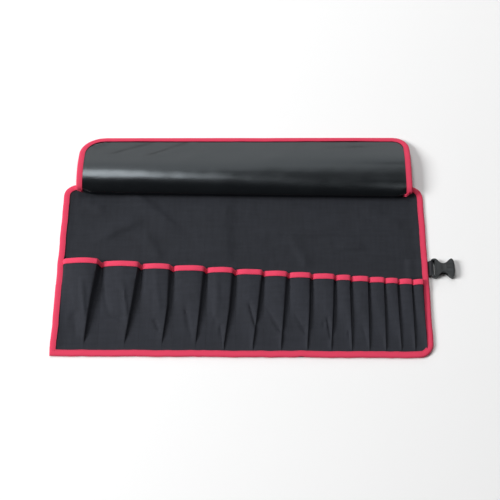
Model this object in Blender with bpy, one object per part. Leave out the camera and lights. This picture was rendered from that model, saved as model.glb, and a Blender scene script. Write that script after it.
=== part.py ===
"""A tool roll that lies open: a cloth panel with fifteen graded pockets, edged in tape.

Metres, +Z up. The origin is the middle of the panel's underside, on the surface that it lies on.
+X runs to the buckle and +Y to the flap, which is folded back over the panel's far edge.
Every sheet is a closed wall. Touching layers keep GAP between them.
"""
import math

import bmesh
import bpy
from mathutils import Matrix, Vector

# Panel, seen from above
PANEL_WIDTH = 0.680
PANEL_DEPTH = 0.3546
FAR_CORNER_RADIUS = 0.025
NEAR_CORNER_RADIUS = 0.024

# Walls
CLOTH = 0.0012
POCKET_CLOTH = 0.0010
TAPE = 0.0010
TAPE_FACE = 0.0112
GAP = 0.0003

# Pockets: depth from the near edge to the mouth at either end, and how far the cloth stands up.
# DENT_MOST and PLEAT_LEAST are shares of the rise there. A FULLNESS under 1 fills the pockets' feet.
POCKET_DEPTH_LEFT = 0.1915
POCKET_DEPTH_RIGHT = 0.1515
POCKET_RISE = 0.0170
PLEAT_RISE = 0.0034
RIDGE_AT_MOUTH = 0.76
RIDGE_AT_FOOT = 0.52
DENT_DEPTH = 0.0030
DENT_MOST = 0.6
PLEAT_LEAST = 0.6
FULLNESS = 0.7

# Flap: its width, its reach past the panel's far edge, its tuck before that edge and its crest
FLAP_WIDTH = 0.634
FLAP_REACH = 0.1087
FLAP_TUCK = 0.0270
FLAP_CREST = 0.0290
FLAP_RIGHT_CREST = 0.72
FLAP_LEFT_RADIUS = 0.035
FLAP_RIGHT_RADIUS = 0.026
FLAP_FOLD_DEPTH = 0.0012
FLAP_FOLD_MIDDLE = 0.46
FLAP_FOLD_HALF = 0.34

# How the panel's rim sags from the tape to the surface, and the soft wrinkles of its bare part, which
# reach full height at WRINKLE_START from the pockets and leave the middle of the panel flat
RIM_SAG = 0.013
MOUTH_SAG = 0.013
WRINKLE_RISE = 0.0015
WRINKLE_START = 0.034
FLAT_MIDDLE = 0.022

# Strap and buckle
STRAP_WIDTH = 0.030
STRAP = 0.0010
STRAP_TAIL = 0.034
STRAP_BULGE_RUN = 0.009
STRAP_BEND = 0.45
BUCKLE_LENGTH = 0.0436
BUCKLE_WIDTH = 0.0408
BUCKLE_HEIGHT = 0.0092
BUCKLE_WALL = 0.0018
BUCKLE_RAIL = 0.0061
BUCKLE_OFFSET = 0.0045
BAR_LENGTH = 0.0034
BAR_HEIGHT = 0.0030
BAR_LEVEL = 0.0040
SLOT_LENGTH = 0.0040
BUCKLE_BEVEL = 0.0009
BEVEL_FROM_DEGREES = 60.0

# How finely the sheets are divided. Rows count along the flap from the panel's tape: its own tape starts
# at TAPE_START_ROW, and it is split at FOLD_ROW, the foremost, so that collision can follow its fold.
PANEL_STEPS = 19
BARE_STEPS = 5
FLAP_STEPS = 20
TAPE_START_ROW = 3
FOLD_ROW = 5
ARC_STEPS = 4

# A mitred corner's offset stays between these shares, and a side counts as facing a way from FACING up
MITRE_LEAST = 0.5
MITRE_MOST = 1.6
FACING = 0.3

# One row a pocket, left to right: its share of the panel's width, and its mouth's share of POCKET_RISE
POCKETS = (
    ("width", "rise"),
    (12.31, 1.00),
    (10.60, 0.77),
    (8.66, 0.62),
    (8.91, 0.62),
    (7.75, 0.62),
    (7.43, 0.52),
    (6.87, 0.48),
    (6.22, 0.47),
    (6.15, 0.49),
    (4.31, 0.44),
    (4.68, 0.40),
    (4.21, 0.36),
    (3.71, 0.35),
    (3.63, 0.34),
    (4.57, 0.35),
)

# Columns across a pocket. Side 0 runs from the left seam to the ridge, side 1 from there to the right seam.
# Place is the share of that side, and mouth and foot are shares of the rise at either end of the pocket.
POCKET_COLUMNS = (
    ("side", "place", "mouth", "foot"),
    (0, 0.00, 0.00, 0.00),
    (0, 0.09, 0.25, 0.00),
    (0, 0.31, 0.66, 0.03),
    (0, 0.58, 0.94, 0.12),
    (0, 0.84, 1.00, 0.48),
    (0, 1.00, 0.92, 1.00),
    (1, 0.42, 0.40, 0.22),
    (1, 0.80, 0.06, 0.03),
    (1, 1.00, 0.00, 0.00),
)

# Rows along a pocket between its foot and its mouth, as shares of that length and of the rise
POCKET_ROWS = (
    ("along", "rise"),
    (0.00, 0.00),
    (0.30, 0.36),
    (0.64, 0.72),
    (1.00, 1.00),
)

# Dents pressed into the pockets, as shares of the pocket's width and length, and of DENT_DEPTH
DENTS = (
    ("pocket", "across", "along", "half_width", "half_length", "depth"),
    (1, 0.36, 0.40, 0.16, 0.34, 1.00),
    (2, 0.34, 0.52, 0.18, 0.26, 0.90),
    (3, 0.40, 0.30, 0.20, 0.30, 0.60),
    (4, 0.42, 0.28, 0.18, 0.30, 0.80),
    (5, 0.34, 0.22, 0.22, 0.30, 0.70),
    (6, 0.40, 0.30, 0.20, 0.34, 0.55),
    (7, 0.34, 0.34, 0.24, 0.26, 0.75),
    (8, 0.32, 0.34, 0.24, 0.26, 0.75),
    (9, 0.34, 0.30, 0.24, 0.26, 0.70),
)

# Wrinkles of the bare part: middle, half length and half width as shares of the panel, and their lean
WRINKLES = (
    ("x", "y", "half_length", "half_width", "degrees", "rise"),
    (-0.30, 0.30, 0.13, 0.040, 24.0, 1.00),
    (-0.15, 0.24, 0.12, 0.045, -42.0, 1.00),
    (0.06, 0.26, 0.14, 0.040, 6.0, 0.90),
    (0.22, 0.17, 0.12, 0.040, -34.0, 0.80),
    (0.36, 0.27, 0.10, 0.045, -28.0, 0.80),
)

# The flap's section from the panel's far edge: run is the share of the way from the fold to the free
# edge, and rise the share of FLAP_CREST. The last row starts the straight slope down to the free edge.
FLAP_SECTION = (
    ("run", "rise"),
    (0.085, 0.035),
    (0.045, 0.110),
    (0.014, 0.215),
    (0.000, 0.340),
    (0.010, 0.480),
    (0.042, 0.640),
    (0.102, 0.805),
    (0.185, 0.925),
    (0.275, 0.990),
    (0.365, 1.000),
    (0.460, 0.920),
    (0.590, 0.700),
)

# Soft folds across the flap: middle along X, half width as shares of the flap's width, and rise
FLAP_FOLDS = (
    ("x", "half_width", "rise"),
    (-0.26, 0.060, 0.8),
    (-0.06, 0.070, -0.7),
    (0.12, 0.060, 0.9),
    (0.31, 0.070, -0.8),
)

# The buckle seen from above: shares of its length and half width
BUCKLE_OUTLINE = (
    ("length", "half_width"),
    (0.000, 0.74),
    (0.020, 0.90),
    (0.075, 0.99),
    (0.215, 1.00),
    (0.285, 0.90),
    (0.350, 0.68),
    (0.430, 0.54),
    (0.540, 0.50),
    (0.630, 0.55),
    (0.700, 0.71),
    (0.760, 0.94),
    (0.820, 1.00),
    (0.905, 0.97),
    (0.965, 0.70),
    (1.000, 0.28),
)

# Colours: red, green, blue, then roughness
FINISHES = {
    "panel_cloth": ((0.030, 0.032, 0.040), 0.85),
    "pocket_cloth": ((0.034, 0.037, 0.044), 0.80),
    "coated_cloth": ((0.052, 0.058, 0.066), 0.42),
    "edge_tape": ((0.720, 0.045, 0.105), 0.80),
    "webbing": ((0.020, 0.021, 0.023), 0.80),
    "moulded_plastic": ((0.024, 0.028, 0.030), 0.45),
}

# Places that follow from the sizes above
HALF_WIDTH = PANEL_WIDTH / 2
HALF_DEPTH = PANEL_DEPTH / 2
TAPE_ROOM = TAPE + GAP
RIM_FLAT = TAPE_FACE + GAP
RIM_END = RIM_FLAT + RIM_SAG
STRAP_STACK = 2 * (STRAP + GAP)
STRAP_HALF = STRAP_WIDTH / 2 + GAP
TAIL_END = HALF_WIDTH - STRAP_TAIL

# A folded tape's section has eight corners: four on its outside, then four on its inside.
# Its end is capped by three quads: the lower face, the wall and the upper face.
CHANNEL_CAP = ((0, 1, 6, 7), (1, 2, 5, 6), (2, 3, 4, 5))


def rows_of(table):
    """The rows of a table whose first row names its columns."""
    return table[1:]


def clamp(share):
    return max(0.0, min(1.0, share))


def mix(start, end, share):
    return start + (end - start) * share


def ramp(value, start, end):
    """The share of the way that value has gone from start to end, held at both ends."""
    return clamp((value - start) / (end - start))


def bump(offset, half):
    """A soft hump of height 1 in the middle, which ends at half to either side."""
    return 0.5 + 0.5 * math.cos(math.pi * min(abs(offset) / half, 1.0))


def corner_radius(x, y):
    """The outline's corner radius in the quarter of the panel that holds a point."""
    if y > 0:
        return FAR_CORNER_RADIUS
    return NEAR_CORNER_RADIUS if x > 0 else 0.0


def edge_distance(x, y):
    """How far a point lies inside the panel's taped outline."""
    from_side = HALF_WIDTH - abs(x)
    from_end = HALF_DEPTH - abs(y)
    radius = corner_radius(x, y)
    if from_side < radius and from_end < radius:
        return radius - math.hypot(radius - from_side, radius - from_end)
    return min(from_side, from_end)


def arc_turns():
    """The angles of a rounded corner's points, from its side to its end."""
    return [math.radians(90.0 * step / ARC_STEPS) for step in range(ARC_STEPS + 1)]


def drawn_in(from_end, radius):
    """How far a rounded corner draws in from its side, at a distance from its end."""
    if from_end >= radius:
        return 0.0
    places = [(radius * (1.0 - math.sin(turn)), radius * (1.0 - math.cos(turn))) for turn in arc_turns()]
    for (far_end, near_side), (near_end, far_side) in zip(places, places[1:]):
        if from_end >= near_end:
            return mix(far_side, near_side, ramp(from_end, near_end, far_end))
    return radius


def outline_x(y, side, inset):
    """The X of the outline's left (-1) or right (1) side, drawn in by inset."""
    radius = max(corner_radius(side, y) - inset, 0.0)
    return side * (HALF_WIDTH - inset - drawn_in(HALF_DEPTH - abs(y) - inset, radius))


def strap_lift(x, y):
    """How far the strap's tail under the panel holds it up."""
    across = 1.0 - ramp(abs(y), STRAP_HALF, STRAP_HALF + STRAP_BULGE_RUN)
    along = ramp(x, TAIL_END - STRAP_BULGE_RUN, TAIL_END - GAP)
    return STRAP_STACK * across * along


def wrinkle_lift(x, y):
    """The bare part's soft wrinkles, which fade out towards the tape, the pockets and the strap."""
    bare_start = mouth_y(x) + TAPE_FACE
    clear = ramp(edge_distance(x, y), RIM_END, RIM_END + RIM_SAG)
    clear *= ramp(y, bare_start, bare_start + WRINKLE_START)
    away = ramp(math.hypot(x, y), FLAT_MIDDLE, 2 * FLAT_MIDDLE)
    tail = 1.0 - ramp(x, TAIL_END - 3 * STRAP_BULGE_RUN, TAIL_END - STRAP_BULGE_RUN)
    lift = 0.0
    for middle_x, middle_y, half_length, half_width, degrees, rise in rows_of(WRINKLES):
        turn = math.radians(degrees)
        dx = x - middle_x * PANEL_WIDTH
        dy = y - middle_y * PANEL_DEPTH
        along = dx * math.cos(turn) + dy * math.sin(turn)
        across = dy * math.cos(turn) - dx * math.sin(turn)
        hump = bump(along, half_length * PANEL_WIDTH) * bump(across, half_width * PANEL_WIDTH)
        lift = max(lift, rise * WRINKLE_RISE * hump)
    return lift * clear * away * max(tail, ramp(abs(y), STRAP_WIDTH, 2 * STRAP_WIDTH))


def panel_underside(x, y):
    """The panel lies flat, and rises at its rim onto the tape's lower face."""
    rim = TAPE_ROOM * (1.0 - ramp(edge_distance(x, y), RIM_FLAT, RIM_END))
    return rim + strap_lift(x, y) + wrinkle_lift(x, y)


def mouth_y(x):
    """The pockets' top edge, which slants down from left to right."""
    return mix(POCKET_DEPTH_LEFT, POCKET_DEPTH_RIGHT, (x + HALF_WIDTH) / PANEL_WIDTH) - HALF_DEPTH


def material(name):
    """A plain finish from the FINISHES table, made once."""
    found = bpy.data.materials.get(name)
    if found:
        return found
    colour, roughness = FINISHES[name]
    made = bpy.data.materials.new(name)
    made.use_nodes = True
    shader = made.node_tree.nodes["Principled BSDF"]
    shader.inputs["Base Color"].default_value = (*colour, 1.0)
    shader.inputs["Roughness"].default_value = roughness
    shader.inputs["Metallic"].default_value = 0.0
    return made


def add_object(name, mesh, finish):
    mesh.materials.append(material(finish))
    made = bpy.data.objects.new(name, mesh)
    bpy.context.scene.collection.objects.link(made)
    return made


def close_mesh(name, points, faces):
    """A mesh from points and faces, with its faces turned to point out."""
    mesh = bpy.data.meshes.new(name)
    mesh.from_pydata(points, [], faces)
    shape = bmesh.new()
    shape.from_mesh(mesh)
    bmesh.ops.recalc_face_normals(shape, faces=shape.faces)
    if shape.calc_volume(signed=True) < 0.0:
        bmesh.ops.reverse_faces(shape, faces=shape.faces)
    shape.to_mesh(mesh)
    shape.free()
    return mesh


def sheet_object(name, lower, upper, finish):
    """A closed wall between two grids of points, each a list of rows.

    Each cell is split along its higher diagonal, so that a sheet never sags between its points.
    """
    rows = len(lower)
    columns = len(lower[0])
    points = [point for grid in (lower, upper) for row in grid for point in row]

    def index(layer, row, column):
        return (layer * rows + row) * columns + column

    faces = []
    for row in range(rows - 1):
        for column in range(columns - 1):
            corners = [(row, column), (row, column + 1), (row + 1, column + 1), (row + 1, column)]
            heights = [lower[here[0]][here[1]].z for here in corners]
            if heights[1] + heights[3] > heights[0] + heights[2]:
                corners = corners[1:] + corners[:1]
            for layer in (0, 1):
                a, b, c, d = (index(layer, *corner) for corner in corners)
                faces += [(a, b, c), (a, c, d)]
    rim = [(0, column) for column in range(columns)]
    rim += [(row, columns - 1) for row in range(1, rows)]
    rim += [(rows - 1, column) for column in range(columns - 2, -1, -1)]
    rim += [(row, 0) for row in range(rows - 2, 0, -1)]
    for here, there in zip(rim, rim[1:] + rim[:1]):
        faces.append((index(0, *here), index(0, *there), index(1, *there), index(1, *here)))
    return add_object(name, close_mesh(name, points, faces), finish)


def swept_object(name, sections, closed, finish):
    """A closed solid through sections of equally many points, joined end to end or capped."""
    count = len(sections[0])
    points = [point for section in sections for point in section]
    faces = []
    stations = len(sections)
    for station in range(stations if closed else stations - 1):
        here = station * count
        there = (station + 1) % stations * count
        for corner in range(count):
            after = (corner + 1) % count
            faces.append((here + corner, here + after, there + after, there + corner))
    if not closed:
        last = (stations - 1) * count
        for first in (0, last):
            faces += [tuple(first + corner for corner in quad) for quad in CHANNEL_CAP]
    return add_object(name, close_mesh(name, points, faces), finish)


def channel(place, reach_in, lower, upper):
    """A tape folded round an edge. place(inset, level) gives a point; lower and upper are levels
    of the layers inside, and the tape's walls lie outside them."""
    return [
        place(reach_in, lower - TAPE),
        place(0.0, lower - TAPE),
        place(0.0, upper + TAPE),
        place(reach_in, upper + TAPE),
        place(reach_in, upper),
        place(TAPE, upper),
        place(TAPE, lower),
        place(reach_in, lower),
    ]


def panel_columns():
    """X places across the panel at half depth, with one at every change of slope."""
    first, last = -HALF_WIDTH + RIM_END, TAIL_END - 2 * STRAP_BULGE_RUN
    even = [mix(first, last, step / PANEL_STEPS) for step in range(PANEL_STEPS + 1)]
    left = [-HALF_WIDTH + TAPE_ROOM, -HALF_WIDTH + RIM_FLAT]
    tail = [TAIL_END - STRAP_BULGE_RUN, TAIL_END - GAP]
    right = [HALF_WIDTH - RIM_END, HALF_WIDTH - RIM_FLAT, HALF_WIDTH - TAPE_ROOM]
    return left + even + sorted(tail + right)


def end_rows(radius):
    """Distances from an end of the panel of its rows there, for a corner of the given radius."""
    corner = [drawn_in_end(turn, radius) for turn in arc_turns()[2:]]
    return sorted(corner) + [RIM_FLAT, RIM_END]


def panel_rows():
    """Y places along the panel, with one at every change of slope and more in the bare part."""
    near = [inset - HALF_DEPTH for inset in end_rows(NEAR_CORNER_RADIUS)]
    far = [HALF_DEPTH - inset for inset in reversed(end_rows(FAR_CORNER_RADIUS))]
    strap = [-STRAP_HALF - STRAP_BULGE_RUN, -STRAP_HALF, STRAP_HALF, STRAP_HALF + STRAP_BULGE_RUN]
    pocket_part = [(near[-1] + strap[0]) / 2]
    bare = [mix(strap[-1], HALF_DEPTH - RIM_END, step / BARE_STEPS) for step in range(1, BARE_STEPS)]
    return near + pocket_part + strap + bare + far


def drawn_in_end(turn, radius):
    """The distance from the outline's end of a corner point of the cloth inside the tape."""
    return TAPE_ROOM + (radius - TAPE_ROOM) * (1.0 - math.sin(turn))


def make_panel():
    columns = panel_columns()
    lower = []
    for y in panel_rows():
        left = outline_x(y, -1, TAPE_ROOM)
        right = outline_x(y, 1, TAPE_ROOM)
        row = [min(max(x, left), right) for x in columns]
        spread = [mix(left, right, step / (len(row) - 1)) for step in range(len(row))]
        crowded = left > columns[1] or right < columns[-2]
        row = spread if crowded else [left] + row[1:-1] + [right]
        lower.append([Vector((x, y, panel_underside(x, y))) for x in row])
    upper = [[point + Vector((0, 0, CLOTH)) for point in row] for row in lower]
    return sheet_object("main_panel", lower, upper, "panel_cloth")


def seam_places():
    """X of the fifteen pockets' bounds, from the left side to the right side."""
    widths = [row[0] for row in rows_of(POCKETS)]
    places = [-HALF_WIDTH]
    for width in widths:
        places.append(places[-1] + PANEL_WIDTH * width / sum(widths))
    return places


def pocket_span(number):
    """Where a pocket's free cloth starts and ends: at its seams, or at the side tape's inner edge."""
    seams = seam_places()
    left = max(seams[number - 1] + GAP / 2, -HALF_WIDTH + RIM_FLAT)
    right = min(seams[number] - GAP / 2, HALF_WIDTH - RIM_FLAT)
    return left, right


def dent(number, across, along):
    """How deep the cloth of a pocket is pressed in at a point."""
    depth = 0.0
    for pocket, middle, height, half_width, half_length, share in rows_of(DENTS):
        if pocket == number:
            depth += share * bump(across - middle, half_width) * bump(along - height, half_length)
    return DENT_DEPTH * depth


def pocket_column(column, along):
    """A column's share of the pocket's width, and its share of the rise, at a share of the length."""
    side, place, at_mouth, at_foot = column
    ridge = mix(RIDGE_AT_FOOT, RIDGE_AT_MOUTH, along)
    across = ridge * place if side == 0 else mix(ridge, 1.0, place)
    return across, mix(at_foot, at_mouth, clamp(along) ** FULLNESS)


def pocket_levels(number):
    """The rows of a pocket: each is the row's Y as a function, its share of the length and its rise."""
    size = rows_of(POCKETS)[number - 1][1]
    rise_at_foot = PLEAT_RISE * mix(PLEAT_LEAST, 1.0, size)
    rise_at_mouth = POCKET_RISE * size
    foot = RIM_END - HALF_DEPTH
    rows = [(lambda x: TAPE_ROOM - HALF_DEPTH, 0.0, 0.0), (lambda x: RIM_FLAT - HALF_DEPTH, 0.0, 0.0)]
    for along, share in rows_of(POCKET_ROWS):
        rise = mix(rise_at_foot, rise_at_mouth, share)
        rows.append((lambda x, along=along: mix(foot, mouth_band_start(x), along), along, rise))
    rows.append((lambda x: mouth_y(x) - TAPE_ROOM, 1.0, rise_at_mouth))
    return rows


def mouth_band_start(x):
    """The Y where the mouth's tape ends on the pocket cloth."""
    return mouth_y(x) - RIM_FLAT


def mouth_lift(x, y):
    """How far the tape's lower face holds the pocket cloth off the panel near the mouth."""
    start = mouth_band_start(x)
    return TAPE_ROOM * ramp(y, start - MOUTH_SAG, start)


def cloth_level(x, y):
    """The middle of the pocket cloth where it lies flat on the panel."""
    return panel_underside(x, y) + CLOTH + GAP + mouth_lift(x, y) + POCKET_CLOTH / 2


def pocket_line(number, row):
    """The middle of a pocket's cloth along one row, as points from left to right."""
    row_y, along, rise = row
    left, right = pocket_span(number)
    points = []
    for column in rows_of(POCKET_COLUMNS):
        across, share = pocket_column(column, along)
        x = mix(left, right, across)
        y = row_y(x)
        x = min(x, outline_x(y, 1, TAPE_ROOM) - GAP * (1.0 - across) - GAP)
        sunk = min(dent(number, across, along), DENT_MOST * rise * share)
        points.append(Vector((x, y, cloth_level(x, y) + rise * share - sunk)))
    for end, side in ((0, -1), (len(points) - 1, 1)):
        at_side_tape = number == 1 if side < 0 else number == len(rows_of(POCKETS))
        if at_side_tape:
            y = row_y(side * HALF_WIDTH)
            x = outline_x(y, side, TAPE_ROOM)
            points.insert(end + (side > 0), Vector((x, y, cloth_level(x, y))))
    return points


def section_normals(points):
    """Mitred normals in XZ along a line of points, upright at its two ends."""
    slopes = [(b - a).normalized() for a, b in zip(points, points[1:])]
    sides = [Vector((-slope.z, 0.0, slope.x)).normalized() for slope in slopes]
    normals = []
    for before, after in zip([None] + sides, sides + [None]):
        if before is None or after is None:
            normals.append(Vector((0.0, 0.0, 1.0)))
            continue
        middle = (before + after).normalized()
        normals.append(middle * min(1.0 / max(middle.dot(before), MITRE_LEAST), MITRE_MOST))
    return normals


def offset_line(points, normals, distance):
    return [point + normal * distance for point, normal in zip(points, normals)]


def add_middle_row(rows):
    """Puts the row where the mouth's lift starts among a pocket's rows, in order of length."""
    before, after = rows[-3], rows[-2]
    start = 1.0 - MOUTH_SAG / (min(POCKET_DEPTH_LEFT, POCKET_DEPTH_RIGHT) - RIM_END - RIM_FLAT)
    share = (start - before[1]) / (after[1] - before[1])
    rise = mix(before[2], after[2], share)
    rows.insert(-2, (lambda x: mouth_band_start(x) - MOUTH_SAG, start, rise))
    return rows


def pocket_rows(number):
    return add_middle_row(pocket_levels(number))


def make_pockets():
    for number in range(1, len(rows_of(POCKETS)) + 1):
        lower = []
        upper = []
        for row in pocket_rows(number):
            line = pocket_line(number, row)
            normals = section_normals(line)
            lower.append(offset_line(line, normals, -POCKET_CLOTH / 2))
            upper.append(offset_line(line, normals, POCKET_CLOTH / 2))
        sheet_object(f"pocket_{number:02d}", lower, upper, "pocket_cloth")


def make_pocket_binding():
    """One tape folded over the pockets' top edge, dipping to the panel at each seam."""
    line = []
    seams = []
    last = len(rows_of(POCKETS))
    for number in range(1, last + 1):
        points = pocket_line(number, pocket_rows(number)[-1])
        if number == 1:
            points = points[1:]
        if number == last:
            points = points[:-1]
        if line:
            line[-1] = (line[-1] + points[0]) / 2
            seams.append(len(line) - 1)
            points = points[1:]
        line += points
    line[0] = line[0].lerp(line[1], GAP / (line[1].x - line[0].x))
    line[-1] = line[-1].lerp(line[-2], GAP / (line[-1].x - line[-2].x))
    normals = section_normals(line)
    for seam in seams:
        normals[seam] = Vector((0.0, 0.0, 1.0))
    sections = []
    half = POCKET_CLOTH / 2 + GAP
    for point, normal in zip(line, normals):
        edge = mouth_y(point.x)

        def place(inset, level, point=point, normal=normal, edge=edge):
            spot = point + normal * level
            return Vector((spot.x, edge - inset, spot.z))

        sections.append(channel(place, TAPE_FACE, -half, half))
    swept_object("pocket_binding", sections, False, "edge_tape")


def side_stack(side, y):
    """What lies on the panel at its side tape: the pocket cloth, and its tape near the mouth."""
    x = side * (HALF_WIDTH - TAPE_ROOM)
    mouth = mouth_y(x)
    cloth = (POCKET_CLOTH + GAP) * (1.0 - ramp(y, mouth + GAP, mouth + TAPE_FACE))
    tape = TAPE_ROOM * ramp(y, mouth_band_start(x) - MOUTH_SAG, mouth_band_start(x))
    tape *= 1.0 - ramp(y, mouth + GAP, mouth + TAPE_FACE)
    return cloth + tape


def far_stack(x):
    """What lies on the panel at its far tape: the flap's edge, between its two sides."""
    return (CLOTH + GAP) * (1.0 - ramp(abs(x), FLAP_WIDTH / 2, FLAP_WIDTH / 2 + TAPE_FACE))


def outline_stations():
    """Points round the panel's outline with the way in, anticlockwise from the near left corner."""
    left_x, right_x = -HALF_WIDTH, HALF_WIDTH
    near, far = -HALF_DEPTH, HALF_DEPTH
    stations = [((left_x, near), (1.0, 1.0))]
    arcs = (
        ((right_x - NEAR_CORNER_RADIUS, near + NEAR_CORNER_RADIUS), NEAR_CORNER_RADIUS, -90.0),
        ((right_x - FAR_CORNER_RADIUS, far - FAR_CORNER_RADIUS), FAR_CORNER_RADIUS, 0.0),
        ((left_x + FAR_CORNER_RADIUS, far - FAR_CORNER_RADIUS), FAR_CORNER_RADIUS, 90.0),
    )
    straights = (side_stops(1), flap_stops(1) + flap_stops(-1), side_stops(-1)[::-1])
    for (centre, radius, first), stops in zip(arcs, straights):
        for step in range(ARC_STEPS + 1):
            turn = math.radians(first + 90.0 * step / ARC_STEPS)
            out = (math.cos(turn), math.sin(turn))
            spot = (centre[0] + radius * out[0], centre[1] + radius * out[1])
            stations.append((spot, (-out[0], -out[1])))
        stations += stops
    return stations


def side_stops(side):
    """Stations on a side of the panel, at every change in what the tape holds."""
    x = side * (HALF_WIDTH - TAPE_ROOM)
    mouth = mouth_y(x)
    band = mouth_band_start(x)
    stops = [band - MOUTH_SAG, band, mouth + GAP, mouth + TAPE_FACE]
    if side > 0:
        stops += [-STRAP_HALF - STRAP_BULGE_RUN, -STRAP_HALF, STRAP_HALF, STRAP_HALF + STRAP_BULGE_RUN]
    return [((side * HALF_WIDTH, y), (-side, 0.0)) for y in sorted(stops)]


def flap_stops(side):
    """Stations on the far edge beside a side of the flap, where the edge is straight."""
    straight_end = HALF_WIDTH - FAR_CORNER_RADIUS
    inner = FLAP_WIDTH / 2
    places = [place for place in (inner, inner + TAPE_FACE) if place < straight_end - GAP]
    places = sorted(places, reverse=side > 0)
    return [((side * place, HALF_DEPTH), (0.0, -1.0)) for place in places]


def make_edge_binding():
    sections = []
    for (x, y), inward in outline_stations():
        inner_x = x + inward[0] * TAPE_ROOM
        inner_y = y + inward[1] * TAPE_ROOM
        if y > FAR_CORNER_RADIUS and inward[1] < -FACING:
            held = far_stack(x)
        elif abs(inward[0]) > FACING and y > -HALF_DEPTH + NEAR_CORNER_RADIUS / 2:
            held = side_stack(1 if x > 0 else -1, y)
        else:
            held = POCKET_CLOTH + GAP
        under = strap_lift(inner_x, inner_y)
        lower = TAPE + under
        upper = TAPE_ROOM + under + CLOTH + held + GAP

        def place(inset, level, x=x, y=y, inward=inward):
            return Vector((x + inward[0] * inset, y + inward[1] * inset, level))

        sections.append(channel(place, TAPE_FACE, lower, upper))
    swept_object("edge_binding", sections, True, "edge_tape")


def flap_fold(x):
    """The height of the soft folds that run across the flap."""
    lift = 0.0
    for middle, half_width, rise in rows_of(FLAP_FOLDS):
        lift += rise * FLAP_FOLD_DEPTH * bump(x - middle * FLAP_WIDTH, half_width * FLAP_WIDTH)
    return lift


def flap_path(x):
    """The middle of the flap's cloth in the YZ plane at an X, from the panel's far tape."""
    in_tape = TAPE_ROOM + CLOTH + GAP + CLOTH / 2
    crest = FLAP_CREST * mix(1.0, FLAP_RIGHT_CREST, clamp(x / FLAP_WIDTH + 0.5))
    fold_y = HALF_DEPTH - FLAP_TUCK
    free_y = HALF_DEPTH + FLAP_REACH - TAPE_ROOM
    slope_end = TAPE_ROOM + CLOTH / 2 + GAP
    path = [(HALF_DEPTH - TAPE_ROOM, in_tape), (HALF_DEPTH - RIM_FLAT - GAP, in_tape)]
    for run, rise in rows_of(FLAP_SECTION):
        wave = flap_fold(x) * bump(run - FLAP_FOLD_MIDDLE, FLAP_FOLD_HALF)
        path.append((mix(fold_y, free_y, run), in_tape + (crest - in_tape) * rise + wave))
    start_y, start_z = path[-1]
    radius = FLAP_LEFT_RADIUS - TAPE_ROOM
    for step in range(ARC_STEPS + 1):
        y = free_y - radius + radius * math.sin(math.radians(90.0 * step / ARC_STEPS))
        share = (y - start_y) / (free_y - start_y)
        path.append((y, mix(start_z, slope_end, share)))
    return path


def flap_side_x(y, side):
    """The X of the flap cloth's side at a Y, drawn in at its rounded corner."""
    radius = (FLAP_LEFT_RADIUS if side < 0 else FLAP_RIGHT_RADIUS) - TAPE_ROOM
    free_y = HALF_DEPTH + FLAP_REACH - TAPE_ROOM
    rise = max(radius - (free_y - y), 0.0)
    return side * (FLAP_WIDTH / 2 - TAPE_ROOM - radius + math.sqrt(max(radius ** 2 - rise ** 2, 0.0)))


def path_normals(points):
    """Mitred normals in YZ along the flap's section, on the side that faces up at its free edge."""
    slopes = [(b - a).normalized() for a, b in zip(points, points[1:])]
    sides = [Vector((0.0, -slope.z, slope.y)) for slope in slopes]
    normals = []
    for before, after in zip([sides[0]] + sides, sides + [sides[-1]]):
        middle = (before + after).normalized()
        normals.append(middle / max(middle.dot(before), MITRE_LEAST))
    return normals


def flap_x(row, column):
    """The X of a flap column at a row, even from side to side."""
    y = flap_path(0.0)[row][0]
    left = flap_side_x(y, -1)
    right = flap_side_x(y, 1)
    return mix(left, right, column / FLAP_STEPS)


def flap_frame(x, row):
    """A point of the flap's middle, and the normal of its section there, for one row."""
    points = [Vector((x, y, z)) for y, z in flap_path(x)]
    return points[row], path_normals(points)[row]


def make_flap_part(name, first, last):
    """The flap's cloth from one row to another. It stops half of GAP short of the fold's row."""
    grid = []
    for row in range(first, last + 1):
        grid.append([flap_frame(flap_x(row, column), row) for column in range(FLAP_STEPS + 1)])
    for end, inside in ((0, 1), (-1, -2)):
        if (first, last)[end] == FOLD_ROW:
            grid[end] = [
                (point + (near - point).normalized() * GAP / 2, normal)
                for (point, normal), (near, _) in zip(grid[end], grid[inside])
            ]
    lower = [[point - normal * CLOTH / 2 for point, normal in row] for row in grid]
    upper = [[point + normal * CLOTH / 2 for point, normal in row] for row in grid]
    sheet_object(name, lower, upper, "coated_cloth")


def make_flap():
    make_flap_part("flap_root", 0, FOLD_ROW)
    make_flap_part("flap", FOLD_ROW, len(flap_path(0.0)) - 1)


def make_flap_binding():
    """The tape round the flap's two sides and its free edge, open where the flap is sewn in."""
    rows = len(flap_path(0.0))
    last = rows - 1
    arc_start = last - ARC_STEPS
    stations = []
    for row in range(TAPE_START_ROW, last + 1):
        stations.append((row, 0, side_direction(row, arc_start, -1)))
    for column in range(1, FLAP_STEPS):
        stations.append((last, column, (0.0, 1.0)))
    for row in range(last, TAPE_START_ROW - 1, -1):
        stations.append((row, FLAP_STEPS, side_direction(row, arc_start, 1)))
    sections = []
    half = CLOTH / 2 + GAP
    for row, column, out in stations:
        x = flap_x(row, column)
        point, normal = flap_frame(x, row)
        along = slope_direction(x)

        def place(inset, level, point=point, normal=normal, out=out, along=along):
            reach = TAPE_ROOM - inset
            spot = point + Vector((out[0] * reach, 0.0, 0.0)) + along * (out[1] * reach)
            return spot + normal * level

        sections.append(channel(place, TAPE_FACE, -half, half))
    swept_object("flap_binding", sections, False, "edge_tape")


def slope_direction(x):
    """The way along the flap's straight slope to its free edge."""
    path = flap_path(x)
    (y0, z0), (y1, z1) = path[-2], path[-1]
    return Vector((0.0, y1 - y0, z1 - z0)).normalized()


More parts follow.
